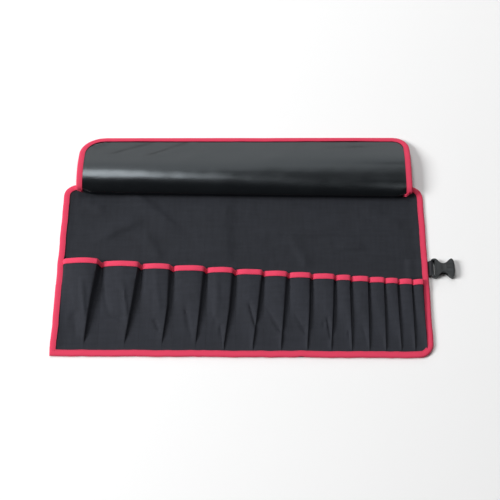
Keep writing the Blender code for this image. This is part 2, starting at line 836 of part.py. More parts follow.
def side_direction(row, arc_start, side):
    """The way out of the flap's edge at a row of its side, in X and along its slope."""
    if row <= arc_start:
        return (side, 0.0)
    radius = (FLAP_LEFT_RADIUS if side < 0 else FLAP_RIGHT_RADIUS) - TAPE_ROOM
    free_y = HALF_DEPTH + FLAP_REACH - TAPE_ROOM
    y = flap_path(0.0)[row][0]
    rise = clamp((radius - (free_y - y)) / radius)
    return (side * math.sqrt(1.0 - rise ** 2), rise)


def strap_path():
    """The middle of the webbing in the XZ plane: two plies under the panel, and a loop round the bar."""
    bar_start = HALF_WIDTH + BUCKLE_OFFSET
    bar_end = bar_start + BAR_LENGTH
    clear = GAP + STRAP / 2
    top = BAR_LEVEL + BAR_HEIGHT / 2 + clear
    bottom = BAR_LEVEL - BAR_HEIGHT / 2 - clear
    ply = STRAP / 2
    second_ply = ply + STRAP + GAP
    bend = clear * STRAP_BEND
    return [
        (TAIL_END, ply),
        (HALF_WIDTH + GAP, ply),
        (bar_start - clear, bottom),
        (bar_end + bend, bottom),
        (bar_end + clear, bottom + bend),
        (bar_end + clear, top - bend),
        (bar_end + bend, top),
        (bar_start - clear, top),
        (HALF_WIDTH + GAP, second_ply),
        (TAIL_END, second_ply),
    ]


def make_strap():
    """The webbing folded round the buckle's bar, with both plies sewn under the panel."""
    path = [Vector((x, 0.0, z)) for x, z in strap_path()]
    slopes = [(b - a).normalized() for a, b in zip(path, path[1:])]
    sides = [Vector((-slope.z, 0.0, slope.x)) for slope in slopes]
    inner = []
    outer = []
    for point, before, after in zip(path, [sides[0]] + sides, sides + [sides[-1]]):
        middle = (before + after).normalized()
        normal = middle / max(middle.dot(before), MITRE_LEAST)
        inner.append(point + normal * STRAP / 2)
        outer.append(point - normal * STRAP / 2)
    edges = (Vector((0.0, -STRAP_WIDTH / 2, 0.0)), Vector((0.0, STRAP_WIDTH / 2, 0.0)))
    lower = [[point + edge for edge in edges] for point in outer]
    upper = [[point + edge for edge in edges] for point in inner]
    sheet_object("buckle_strap", lower, upper, "webbing")


def box_cutter(name, low, high):
    """A hidden box that a Boolean cuts with."""
    shape = bmesh.new()
    bmesh.ops.create_cube(shape, size=1.0)
    size = Vector(high) - Vector(low)
    middle = (Vector(high) + Vector(low)) / 2
    shape.transform(Matrix.Translation(middle) @ Matrix.Diagonal((*size, 1.0)))
    mesh = bpy.data.meshes.new(name)
    shape.to_mesh(mesh)
    shape.free()
    cutter = bpy.data.objects.new(name, mesh)
    bpy.context.scene.collection.objects.link(cutter)
    cutter.hide_render = True
    cutter.display_type = "WIRE"
    return cutter


def make_buckle():
    """The socket half of a side release buckle: a slot and bar at one end, a mouth at the other,
    and a waist where the mouth's hollow shows at both sides."""
    start = HALF_WIDTH + BUCKLE_OFFSET
    half = BUCKLE_WIDTH / 2
    outline = [(start + length * BUCKLE_LENGTH, width * half) for length, width in rows_of(BUCKLE_OUTLINE)]
    ring = outline + [(x, -y) for x, y in reversed(outline)]
    count = len(ring)
    points = [(x, y, z) for z in (0.0, BUCKLE_HEIGHT) for x, y in ring]
    faces = [tuple(range(count)), tuple(range(count, 2 * count))]
    for corner in range(count):
        after = (corner + 1) % count
        faces.append((corner, after, after + count, corner + count))
    buckle = add_object("buckle", close_mesh("buckle", points, faces), "moulded_plastic")

    bevel = buckle.modifiers.new("rounded_edges", "BEVEL")
    bevel.width = BUCKLE_BEVEL
    bevel.segments = 1
    bevel.limit_method = "ANGLE"
    bevel.angle_limit = math.radians(BEVEL_FROM_DEGREES)

    slot_start = start + BAR_LENGTH
    slot_end = slot_start + SLOT_LENGTH
    slot_half = STRAP_WIDTH / 2 + GAP
    mouth_start = slot_end + 2 * BUCKLE_WALL
    mouth_half = half - BUCKLE_RAIL
    over = BUCKLE_HEIGHT
    end = start + BUCKLE_LENGTH
    cutters = (
        box_cutter("slot_cutter", (slot_start, -slot_half, -over),
                   (slot_end, slot_half, BUCKLE_HEIGHT + over)),
        box_cutter("mouth_cutter", (mouth_start, -mouth_half, BUCKLE_WALL),
                   (end + over, mouth_half, BUCKLE_HEIGHT - BUCKLE_WALL)),
        box_cutter("bar_top_cutter", (start - over, -slot_half, BAR_LEVEL + BAR_HEIGHT / 2),
                   (slot_start + GAP, slot_half, BUCKLE_HEIGHT + over)),
        box_cutter("bar_under_cutter", (start - over, -slot_half, -over),
                   (slot_start + GAP, slot_half, BAR_LEVEL - BAR_HEIGHT / 2)),
    )
    for cutter in cutters:
        cut = buckle.modifiers.new(cutter.name, "BOOLEAN")
        cut.operation = "DIFFERENCE"
        cut.object = cutter


def main():
    for old in list(bpy.data.objects):
        bpy.data.objects.remove(old, do_unlink=True)
    make_panel()
    make_pockets()
    make_pocket_binding()
    make_edge_binding()
    make_flap()
    make_flap_binding()
    make_strap()
    make_buckle()


main()
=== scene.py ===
"""Looks of an open tool roll: woven cloth, pleated pockets, sewn red tape, a flap folded back and a buckle.

Metres, +Z up. The frame's nodes give the sizes that they have, and each piece lies where its node lies.
The tables below hold millimetres or shares, as their first row says.
"""
import math

import bmesh
import bpy
import numpy as np
from bpy.props import FloatProperty, FloatVectorProperty, PointerProperty
from mathutils import Matrix, Vector


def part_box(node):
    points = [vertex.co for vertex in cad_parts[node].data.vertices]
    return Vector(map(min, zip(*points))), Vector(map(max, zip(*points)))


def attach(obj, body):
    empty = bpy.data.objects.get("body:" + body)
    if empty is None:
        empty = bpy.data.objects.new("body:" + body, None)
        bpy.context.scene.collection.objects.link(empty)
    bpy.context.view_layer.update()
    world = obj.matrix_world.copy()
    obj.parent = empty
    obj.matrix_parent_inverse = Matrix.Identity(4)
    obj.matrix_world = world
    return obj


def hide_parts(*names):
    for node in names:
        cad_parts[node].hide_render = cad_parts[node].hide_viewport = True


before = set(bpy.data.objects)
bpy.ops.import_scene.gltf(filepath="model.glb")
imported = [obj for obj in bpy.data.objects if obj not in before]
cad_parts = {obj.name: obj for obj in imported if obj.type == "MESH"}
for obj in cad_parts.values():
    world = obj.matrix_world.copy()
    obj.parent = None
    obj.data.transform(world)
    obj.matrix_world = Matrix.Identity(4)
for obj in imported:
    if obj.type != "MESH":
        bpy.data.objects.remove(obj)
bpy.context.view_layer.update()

bl_info = {
    "name": "Tool Roll",
    "version": (1, 0, 0),
    "blender": (4, 5, 0),
    "location": "3D View > Sidebar > Tool Roll",
    "description": "Builds the cloth, tape, stitching and buckle of an open tool roll",
    "category": "Add Mesh",
}

MM = 0.001

# Places read from the frame
TAPE_LOW, TAPE_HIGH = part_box("edge_binding")
HALF_WIDTH = TAPE_HIGH.x
HALF_DEPTH = TAPE_HIGH.y
FLAP_LOW, FLAP_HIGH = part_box("flap")
FLAP_TAPE_LOW, FLAP_TAPE_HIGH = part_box("flap_binding")
FLAP_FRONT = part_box("flap_root")[0].y
STRAP_LOW, STRAP_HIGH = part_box("buckle_strap")
BUCKLE_LOW, BUCKLE_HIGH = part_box("buckle")
POCKET_NODES = [name for name in sorted(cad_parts) if name.startswith("pocket_") and name[-1].isdigit()]
POCKET_BOXES = [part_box(name) for name in POCKET_NODES]

# The frame's walls and the room that its tape and gaps take
CLOTH = 1.2 * MM
POCKET_CLOTH = 1.0 * MM
TAPE = 1.0 * MM
GAP = 0.3 * MM
TAPE_ROOM = TAPE + GAP
FAR_RADIUS = 25.0 * MM
NEAR_RADIUS = 28.0 * MM
FLAP_RADII = (48.0 * MM, 31.0 * MM)
FLAP_RIGHT_CREST = 0.72
RIM_SAG = 13.0 * MM
MOUTH_SAG = 13.0 * MM
PLEAT_RISE = 3.4 * MM
STRAP_STACK = 2.6 * MM
STRAP_HALF = STRAP_HIGH.y + GAP
STRAP_BULGE = 9.0 * MM

# Where the pockets' seams and mouths run
SEAMS = [-HALF_WIDTH]
for before, after in zip(POCKET_BOXES, POCKET_BOXES[1:]):
    SEAMS.append((before[1].x + after[0].x) / 2)
SEAMS.append(HALF_WIDTH)
MOUTH_LEFT = POCKET_BOXES[1][1].y + TAPE_ROOM
MOUTH_RIGHT = POCKET_BOXES[-1][1].y + TAPE_ROOM
MOUTH_SLOPE = (MOUTH_RIGHT - MOUTH_LEFT) / (SEAMS[-2] - SEAMS[1])
POCKET_BASE = CLOTH + GAP + TAPE_ROOM + POCKET_CLOTH
RISES = [high.z - POCKET_BASE for low, high in POCKET_BOXES]

# A pocket's section at four places along it: at its foot, low, high and at its mouth. A place runs from 0
# at the left seam over 1 at the ridge to 2 at the right seam. The other column is the share of the rise.
SECTION_KEYS = (0.0, 0.33, 0.63, 1.0)
POCKET_SECTION = (
    ("foot x", "foot z", "low x", "low z", "high x", "high z", "mouth x", "mouth z"),
    (0.00, 0.00, 0.00, 0.00, 0.00, 0.00, 0.00, 0.00),
    (0.20, 0.00, 0.12, 0.03, 0.05, 0.12, 0.04, 0.28),
    (0.45, 0.02, 0.30, 0.14, 0.16, 0.32, 0.09, 0.46),
    (0.65, 0.08, 0.50, 0.34, 0.35, 0.58, 0.20, 0.63),
    (0.80, 0.22, 0.70, 0.62, 0.55, 0.81, 0.38, 0.82),
    (0.90, 0.55, 0.85, 0.86, 0.75, 0.95, 0.58, 0.96),
    (0.96, 0.92, 0.94, 0.98, 0.90, 1.00, 0.80, 1.00),
    (1.00, 1.00, 1.00, 1.00, 1.00, 0.97, 1.00, 0.93),
    (1.03, 0.85, 1.06, 0.80, 1.10, 0.78, 1.20, 0.72),
    (1.06, 0.35, 1.15, 0.38, 1.25, 0.40, 1.44, 0.38),
    (1.12, 0.06, 1.26, 0.12, 1.44, 0.14, 1.66, 0.12),
    (1.30, 0.00, 1.50, 0.02, 1.68, 0.03, 1.84, 0.03),
    (2.00, 0.00, 2.00, 0.00, 2.00, 0.00, 2.00, 0.00),
)
RIDGE_KEYS = (0.0, 0.5, 1.0)
FADING_FEET = 4
POCKET_RIDGES = (
    ("foot", "middle", "mouth"),
    (0.655, 0.745, 0.87),
    (0.653, 0.790, 0.90),
    (0.708, 0.835, 0.84),
    (0.703, 0.800, 0.88),
    (0.624, 0.780, 0.86),
    (0.620, 0.780, 0.91),
    (0.664, 0.770, 0.86),
    (0.733, 0.830, 0.87),
    (0.740, 0.845, 0.90),
    (0.870, 0.860, 0.86),
    (0.855, 0.885, 0.90),
    (0.864, 0.890, 0.90),
    (0.920, 0.865, 0.86),
    (0.910, 0.915, 0.91),
    (0.950, 0.920, 0.90),
)
POCKET_RISE_ROWS = ((0.0, 0.30, 0.64, 1.0), (0.0, 0.36, 0.72, 1.0))

# Folds pressed into the pockets, in millimetres: ends, half widths to the left and right, and height
POCKET_FOLDS = (
    ("x0", "y0", "x1", "y1", "left", "right", "height"),
    (-299, -92, -302, -142, 5.0, 7.0, -4.2),
    (-314, -122, -294, -134, 4.0, 4.0, -1.8),
    (-292, -30, -282, -104, 5.0, 3.0, 2.6),
    (-254, -38, -240, -102, 4.5, 5.0, -3.4),
    (-242, -97, -211, -107, 3.5, 3.0, -3.4),
    (-217, -36, -206, -102, 4.0, 3.0, 2.6),
    (-221, -150, -221, -167, 1.8, 1.8, -2.0),
    (-160, -5, -149, -100, 7.0, 4.0, 1.6),
    (-157, -106, -147, -126, 2.2, 2.8, -5.0),
    (-153, -150, -157, -167, 1.8, 1.8, -2.2),
    (-103, -80, -92, -142, 4.5, 2.6, -3.2),
    (-118, -108, -101, -155, 3.4, 3.4, -2.4),
    (-47, -20, -46, -104, 6.0, 5.0, 1.8),
    (-48, -102, -50, -146, 3.0, 2.6, -2.6),
    (-38, -118, -37, -167, 2.6, 2.6, -3.4),
    (12, -70, 25, -122, 3.6, 2.6, -2.8),
    (38, -80, 70, -130, 4.6, 2.4, -3.6),
    (84, -86, 113, -130, 4.6, 2.4, -3.8),
    (152, -100, 158, -142, 3.6, 2.2, -3.2),
    (147, -108, 135, -143, 3.0, 3.4, -2.6),
    (191, -126, 183, -164, 2.4, 2.4, -2.6),
    (215, -120, 222, -164, 2.4, 2.4, -2.4),
    (242, -124, 251, -164, 2.4, 2.4, -2.4),
    (265, -138, 280, -152, 2.4, 2.4, -2.2),
    (291, -132, 301, -164, 2.4, 2.4, -2.2),
)

# Wrinkles of the bare part, in the same columns
PANEL_WRINKLES = (
    ("x0", "y0", "x1", "y1", "left", "right", "height"),
    (-210, 160, -120, 80, 9.0, 22.0, 3.0),
    (-268, 60, -192, 101, 16.0, 8.0, 2.8),
    (-30, 8, -36, 150, 60.0, 14.0, 2.8),
    (-184, 74, -150, 16, 9.0, 15.0, 2.4),
    (34, 74, 164, 74, 14.0, 5.0, 1.7),
    (178, 46, 224, 44, 9.0, 5.0, 1.8),
    (88, 72, 120, 0, 12.0, 8.0, 1.8),
    (60, 130, 150, 118, 16.0, 10.0, 1.6),
    (220, 128, 292, 92, 14.0, 8.0, 1.9),
    (-300, 140, -262, 118, 10.0, 8.0, 1.4),
)

# The flap's section from the tape: the run from its fold to its free edge and the rise at its left and
# right end, as shares
FLAP_SECTION = (
    ("run", "left rise", "right rise"),
    (0.085, 0.030, 0.030),
    (0.036, 0.070, 0.075),
    (0.004, 0.160, 0.180),
    (-0.006, 0.290, 0.340),
    (0.004, 0.450, 0.530),
    (0.036, 0.630, 0.730),
    (0.098, 0.805, 0.880),
    (0.182, 0.925, 0.965),
    (0.275, 0.990, 0.990),
    (0.365, 1.000, 1.000),
    (0.460, 0.940, 0.985),
    (0.590, 0.730, 0.920),
    (0.760, 0.420, 0.560),
    (0.900, 0.171, 0.220),
    (1.000, 0.000, 0.000),
)

# Soft folds of the flap: ends in millimetres along X and along the cloth from the fold's front
FLAP_FOLDS = (
    ("x0", "s0", "x1", "s1", "left", "right", "height"),
    (-262, 84, -160, 130, 7.0, 12.0, 0.5),
    (-190, 78, -90, 134, 7.0, 13.0, 0.7),
    (-120, 76, 0, 136, 8.0, 15.0, 0.6),
    (30, 66, 140, 132, 10.0, 16.0, 0.6),
    (130, 104, 250, 112, 8.0, 10.0, 0.6),
    (-294, 112, -262, 131, 5.0, 7.0, 1.8),
)
FLAP_SKEW = 2.2 * MM
FLAP_HOOK = 8.0 * MM
FLAP_RECEDE = 10.0 * MM
FLAP_SHIFT = 2.2 * MM
FLAP_DRAW = 4.5 * MM

# The buckle from above: share of its length and of its half width
BUCKLE_OUTLINE = (
    ("length", "half width"),
    (0.000, 0.72),
    (0.020, 0.86),
    (0.075, 0.96),
    (0.180, 1.00),
    (0.265, 0.90),
    (0.335, 0.70),
    (0.410, 0.56),
    (0.500, 0.50),
    (0.600, 0.54),
    (0.680, 0.66),
    (0.760, 0.84),
    (0.840, 0.98),
    (0.890, 1.00),
    (0.940, 0.90),
    (0.980, 0.60),
    (1.000, 0.28),
)
BAR_LENGTH = 3.4 * MM
BAR_HEIGHT = 3.0 * MM
BAR_LEVEL = 4.0 * MM
SLOT_LENGTH = 4.0 * MM
BUCKLE_WALL = 1.8 * MM
BUCKLE_RAIL = 6.1 * MM

# A folded tape's section: share of its face from the nose, how much its face puffs out there
TAPE_FACE_ROWS = (
    ("place", "puff"),
    (0.30, 0.16),
    (0.55, 0.14),
    (0.78, 0.00),
    (0.86, -0.24),
    (0.93, -0.06),
    (1.00, -0.20),
)
STITCH_PLACE = 0.86

# The camera of the photograph
CAMERA_PLACE = (0.0194, -1.0167, 1.9368)
CAMERA_TURN = (28.6, 0.0, 0.324)
CAMERA_LENS = 85.9
CAMERA_SENSOR = 36.0


class RollSizes(bpy.types.PropertyGroup):
    """Sizes of the roll's cloth, tape and thread."""

    cloth: FloatProperty(name="Cloth", description="Thickness of the panel and pocket cloth",
                         default=0.8 * MM, min=0.2 * MM, max=1.0 * MM, unit="LENGTH", precision=5)
    tape: FloatProperty(name="Tape", description="Thickness of the tape",
                        default=0.7 * MM, min=0.2 * MM, max=TAPE, unit="LENGTH", precision=5)
    tape_face: FloatProperty(name="Tape face", description="Width of the folded tape's face",
                             default=11.2 * MM, min=6.0 * MM, max=14.0 * MM, unit="LENGTH", precision=5)
    crumple: FloatProperty(name="Crumple", description="Height of the cloth's fine unevenness",
                           default=0.28 * MM, min=0.0, max=1.0 * MM, unit="LENGTH", precision=5)
    stitch_pitch: FloatProperty(name="Stitch pitch", description="Distance from stitch to stitch",
                                default=3.2 * MM, min=1.5 * MM, max=6.0 * MM, unit="LENGTH", precision=5)
    stitch_length: FloatProperty(name="Stitch length", description="Length of a stitch that shows",
                                 default=2.3 * MM, min=0.8 * MM, max=5.0 * MM, unit="LENGTH", precision=5)
    thread: FloatProperty(name="Thread", description="Thickness of the sewing thread",
                          default=0.5 * MM, min=0.1 * MM, max=1.0 * MM, unit="LENGTH", precision=5)
    weave: FloatProperty(name="Weave", description="Distance from yarn to yarn of the cloth",
                         default=0.55 * MM, min=0.2 * MM, max=2.0 * MM, unit="LENGTH", precision=5)


class RollColours(bpy.types.PropertyGroup):
    """Colours of the roll's finishes."""

    panel: FloatVectorProperty(name="Panel cloth", description="Colour of the panel's cloth",
                               default=(0.020, 0.022, 0.028), subtype="COLOR", min=0.0, max=1.0)
    pocket: FloatVectorProperty(name="Pocket cloth", description="Colour of the pockets' cloth",
                                default=(0.022, 0.024, 0.031), subtype="COLOR", min=0.0, max=1.0)
    coating: FloatVectorProperty(name="Coated cloth", description="Colour of the flap's coated side",
                                 default=(0.0030, 0.0036, 0.0046), subtype="COLOR", min=0.0, max=1.0)
    tape: FloatVectorProperty(name="Tape", description="Colour of the edge tape",
                              default=(0.63, 0.014, 0.058), subtype="COLOR", min=0.0, max=1.0)
    tape_thread: FloatVectorProperty(name="Tape thread", description="Colour of the thread on the tape",
                                     default=(0.52, 0.022, 0.060), subtype="COLOR", min=0.0, max=1.0)
    seam_thread: FloatVectorProperty(name="Seam thread", description="Colour of the thread between pockets",
                                     default=(0.020, 0.021, 0.026), subtype="COLOR", min=0.0, max=1.0)
    webbing: FloatVectorProperty(name="Webbing", description="Colour of the buckle's strap",
                                 default=(0.020, 0.021, 0.024), subtype="COLOR", min=0.0, max=1.0)
    plastic: FloatVectorProperty(name="Plastic", description="Colour of the buckle",
                                 default=(0.017, 0.020, 0.022), subtype="COLOR", min=0.0, max=1.0)


class RollStage(bpy.types.PropertyGroup):
    """Floor and lights."""

    floor: FloatVectorProperty(name="Floor", description="Colour of the floor",
                               default=(0.96, 0.96, 0.96), subtype="COLOR", min=0.0, max=1.0)
    sky: FloatProperty(name="Surround", description="Strength of the even light from all round",
                       default=0.06, min=0.0, max=5.0)
    key: FloatProperty(name="Key", description="Power of the large light at the left",
                       default=318.0, min=0.0, max=2000.0, unit="POWER")
    top: FloatProperty(name="Top", description="Power of the light overhead",
                       default=44.0, min=0.0, max=2000.0, unit="POWER")
    back: FloatProperty(name="Back", description="Power of the wide light behind the roll",
                        default=37.0, min=0.0, max=2000.0, unit="POWER")
    right: FloatProperty(name="Right", description="Power of the small light overhead at the right",
                         default=14.0, min=0.0, max=2000.0, unit="POWER")


def rows_of(table):
    """The rows of a table whose first row names its columns."""
    return table[1:]


def mix(start, end, share):
    return start + (end - start) * share


def ramp(value, start, end):
    """A soft step from 0 at start to 1 at end."""
    share = np.clip((value - start) / (end - start), 0.0, 1.0)
    return share * share * (3.0 - 2.0 * share)


def unit(vectors):
    length = np.linalg.norm(vectors, axis=-1, keepdims=True)
    return vectors / np.maximum(length, 1e-12)


def smooth_through(points, steps):
    """A Catmull-Rom curve through points, an array of rows, with the given steps between two of them."""
    points = np.asarray(points, float)
    padded = np.concatenate([2 * points[:1] - points[1:2], points, 2 * points[-1:] - points[-2:-1]])
    share = np.arange(steps)[:, None] / steps
    pieces = []
    for index in range(len(points) - 1):
        a, b, c, d = padded[index:index + 4]
        curve = 2 * b + (c - a) * share + (2 * a - 5 * b + 4 * c - d) * share ** 2
        pieces.append((curve + (3 * b - a - 3 * c + d) * share ** 3) / 2)
    return np.concatenate(pieces + [points[-1:]])


def resample(points, count):
    """Points spread evenly along a line."""
    steps = np.linalg.norm(np.diff(points, axis=0), axis=1)
    along = np.concatenate([[0.0], np.cumsum(steps)])
    wanted = np.linspace(0.0, along[-1], count)
    return np.stack([np.interp(wanted, along, points[:, axis]) for axis in range(points.shape[1])], axis=1)


def crumple(x, y, seed, size=34.0 * MM):
    """A soft uneven surface between about -1 and 1, the same for the same seed."""
    chance = np.random.default_rng(seed)
    total = np.zeros_like(x)
    weight = 0.0
    for octave in range(4):
        for _ in range(3):
            turn = chance.uniform(0.0, 2.0 * math.pi)
            phase = chance.uniform(0.0, 2.0 * math.pi)
            wave = 2.0 * math.pi / (size * chance.uniform(0.8, 1.3) / 1.8 ** octave)
            share = 0.6 ** octave
            bend = 0.6 * np.sin(0.37 * wave * (y * math.cos(turn) - x * math.sin(turn)) + 2.0 * phase)
            total += share * np.sin(wave * (x * math.cos(turn) + y * math.sin(turn)) + phase + bend)
            weight += share
    return 2.0 * total / weight


def folds(x, y, table):
    """The lift of a table of folds. A fold's two sides may be of different widths."""
    lift = np.zeros_like(x)
    for row in rows_of(table):
        x0, y0, x1, y1, left, right, height = (value * MM for value in row)
        length = math.hypot(x1 - x0, y1 - y0)
        ux, uy = (x1 - x0) / length, (y1 - y0) / length
        along = ((x - x0) * ux + (y - y0) * uy) / length
        across = (y - y0) * ux - (x - x0) * uy
        width = np.where(across > 0.0, left, right)
        fade = ramp(along, -0.15, 0.25) * (1.0 - ramp(along, 0.75, 1.15))
        lift += height * np.exp(-(across / width) ** 2) * fade
    return lift


def outline_radius(x, y):
    return np.where(y > 0.0, FAR_RADIUS, np.where(x > 0.0, NEAR_RADIUS, 0.0))


def edge_room(x, y):
    """How far points lie inside the taped outline."""
    side = HALF_WIDTH - np.abs(x)
    end = HALF_DEPTH - np.abs(y)
    radius = outline_radius(x, y)
    corner = radius - np.hypot(radius - side, radius - end)
    return np.where((side < radius) & (end < radius), corner, np.minimum(side, end))


def outline_x(y, side, inset):
    """The X of the outline's left (-1) or right (1) side, drawn in by inset."""
    radius = np.maximum(outline_radius(np.full_like(y, side), y) - inset, 0.0)
    end = HALF_DEPTH - np.abs(y) - inset
    drop = np.maximum(radius - end, 0.0)
    drawn = radius - np.sqrt(np.maximum(radius ** 2 - drop ** 2, 0.0))
    return side * (HALF_WIDTH - inset - drawn)


def mouth_y(x):
    """The pockets' top edge, which slants down from left to right."""
    return MOUTH_LEFT + MOUTH_SLOPE * (x - SEAMS[1])


def strap_lift(x, y):
    """How far the strap's tail under the panel holds it up."""
    across = 1.0 - ramp(np.abs(y), STRAP_HALF, STRAP_HALF + STRAP_BULGE)
    return STRAP_STACK * across * ramp(x, STRAP_LOW.x - STRAP_BULGE, STRAP_LOW.x - GAP)


def panel_underside(x, y, tape_face):
    """The panel lies flat, and rises at its rim onto the tape's lower face."""
    room = edge_room(x, y)
    flat = tape_face + GAP
    rim = TAPE_ROOM * (1.0 - ramp(room, flat, flat + RIM_SAG))
    clear = ramp(room, flat, flat + RIM_SAG) * ramp(y, mouth_y(x) + tape_face / 2, mouth_y(x) + 2 * tape_face)
    clear *= 1.0 - ramp(x, STRAP_LOW.x - 3 * STRAP_BULGE, STRAP_LOW.x) * (1.0 - ramp(np.abs(y), 0.03, 0.06))
    wrinkles = np.maximum(folds(x, y, PANEL_WRINKLES), 0.0)
    return rim + strap_lift(x, y) + wrinkles * clear


def index_grid(rows, columns, start=0):
    """Quads over a grid of points, and the points round its rim in order."""
    index = np.arange(rows * columns).reshape(rows, columns) + start
    quads = np.stack([index[:-1, :-1], index[:-1, 1:], index[1:, 1:], index[1:, :-1]], axis=-1).reshape(-1, 4)
    rim = np.concatenate([index[0, :-1], index[:-1, -1], index[-1, :0:-1], index[:0:-1, 0]])
    return quads, rim


def add_mesh(name, points, faces, uvs=None, sharp=40.0):
    """A shown piece from points and faces, with its cloth map."""
    mesh = bpy.data.meshes.new(name)
    mesh.from_pydata(np.asarray(points).tolist(), [], [tuple(face) for face in np.asarray(faces).tolist()]
                     if isinstance(faces, np.ndarray) else faces)
    if uvs is not None:
        layer = mesh.uv_layers.new(name="cloth")
        corners = np.zeros(len(mesh.loops), np.int32)
        mesh.loops.foreach_get("vertex_index", corners)
        layer.data.foreach_set("uv", np.asarray(uvs, np.float32)[corners].ravel())
    mesh.shade_smooth()
    mesh.set_sharp_from_angle(angle=math.radians(sharp))
    mesh.validate()
    made = bpy.data.objects.new(name, mesh)
    bpy.context.scene.collection.objects.link(made)
    return made


def grid_normals(middle):
    across = unit(np.gradient(middle, axis=1))
    along = unit(np.gradient(middle, axis=0))
    return unit(np.cross(across, along))


def cloth_lengths(middle):
    """Lengths along a grid's rows and columns, for a map that keeps the weave's true size."""
    across = np.linalg.norm(np.diff(middle, axis=1), axis=2)
    along = np.linalg.norm(np.diff(middle, axis=0), axis=2)
    u = np.concatenate([np.zeros((len(middle), 1)), np.cumsum(across, axis=1)], axis=1)
    u -= u[:, u.shape[1] // 2, None]
    v = np.concatenate([np.zeros((1, middle.shape[1])), np.cumsum(along, axis=0)], axis=0)
    return np.stack([u, v], axis=-1)


def add_sheet(name, middle, thickness):
    """A sheet of cloth about a grid of points, closed at its rim."""
    rows, columns = middle.shape[:2]
    normals = grid_normals(middle)
    upper = (middle + normals * thickness / 2).reshape(-1, 3)
    lower = (middle - normals * thickness / 2).reshape(-1, 3)
    count = rows * columns
    top, rim = index_grid(rows, columns)
    bottom = top[:, ::-1] + count
    after = np.roll(rim, -1)
    wall = np.stack([after, rim, rim + count, after + count], axis=-1)
    uvs = cloth_lengths(middle).reshape(-1, 2)
    faces = np.concatenate([top, bottom, wall])
    return add_mesh(name, np.concatenate([upper, lower]), faces, np.concatenate([uvs, uvs]))


def tape_section(sizes, nose_steps=6):
    """A folded tape's section as rows of (inset, share up, puff): its outside, then its inside."""
    face = sizes.tape_face
    nose = 0.20 * face
    rows = [(place * face, puff * MM) for place, puff in rows_of(TAPE_FACE_ROWS)]
    outside = [(inset, 0.0, puff) for inset, puff in reversed(rows)]
    inside = [(inset, 0.0, puff) for inset, puff in reversed(rows)]
    for step in range(nose_steps + 1):
        turn = math.pi * step / nose_steps
        up = 0.5 - 0.5 * math.cos(turn)
        outside.append((nose * (1.0 - math.sin(turn)), up, 0.0))
        inside.append((max(nose * (1.0 - math.sin(turn)), sizes.tape), up, 0.0))
    outside += [(inset, 1.0, puff) for inset, puff in rows]
    inside += [(inset, 1.0, puff) for inset, puff in rows]
    return outside, inside


def add_tape(name, stations, sizes, closed, flat_below=False):
    """A tape folded round an edge. Stations hold the edge's points, the ways in and up, and the two levels
    of the tape's outer faces. The lines of its upper and lower stitches come back with the piece."""
    points, inward, upward, low, high = stations
    outside, inside = tape_section(sizes)
    along = np.concatenate([[0.0], np.cumsum(np.linalg.norm(np.diff(points, axis=0), axis=1))])
    loops = []
    across = []
    travel = 0.0
    last = None
    for layer, ring in ((0.0, outside), (sizes.tape, inside[::-1])):
        for inset, share, puff in ring:
            level = mix(low + layer, high - layer, share)
            if share > 0.5:
                level = level + puff
            elif share < 0.5:
                level = level + (max(-puff, 0.0) if flat_below else -puff)
            loops.append(points + inward * inset + upward * level[:, None])
            here = (inset, share * 2.0 * MM)
            if last is not None:
                travel += math.hypot(here[0] - last[0], here[1] - last[1])
            last = here
            across.append(travel)
    grid = np.stack(loops, axis=1)
    stations_count, ring_count = grid.shape[:2]
    faces = []
    spans = stations_count if closed else stations_count - 1
    index = np.arange(stations_count * ring_count).reshape(stations_count, ring_count)
    here = index[np.arange(spans)]
    there = index[(np.arange(spans) + 1) % stations_count]
    faces = np.stack([here, there, np.roll(there, -1, axis=1), np.roll(here, -1, axis=1)], axis=-1).reshape(-1, 4)
    faces = faces.tolist()
    if not closed:
        half = ring_count // 2
        for row, flip in ((index[0], False), (index[-1], True)):
            for step in range(half - 1):
                quad = [row[step], row[step + 1], row[ring_count - 2 - step], row[ring_count - 1 - step]]
                faces.append([int(corner) for corner in (quad[::-1] if flip else quad)])
    uvs = np.stack(np.broadcast_arrays(along[:, None], np.asarray(across)[None, :]), axis=-1).reshape(-1, 2)
    piece = add_mesh(name, grid.reshape(-1, 3), [tuple(face) for face in faces], uvs)
    stitch = STITCH_PLACE * sizes.tape_face
    groove = [puff for place, puff in rows_of(TAPE_FACE_ROWS) if place == STITCH_PLACE][0] * MM
    upper = points + inward * stitch + upward * (high + groove)[:, None]
    lower = points + inward * stitch + upward * (low - groove)[:, None]
    return piece, (upper, upward), (lower, -upward)


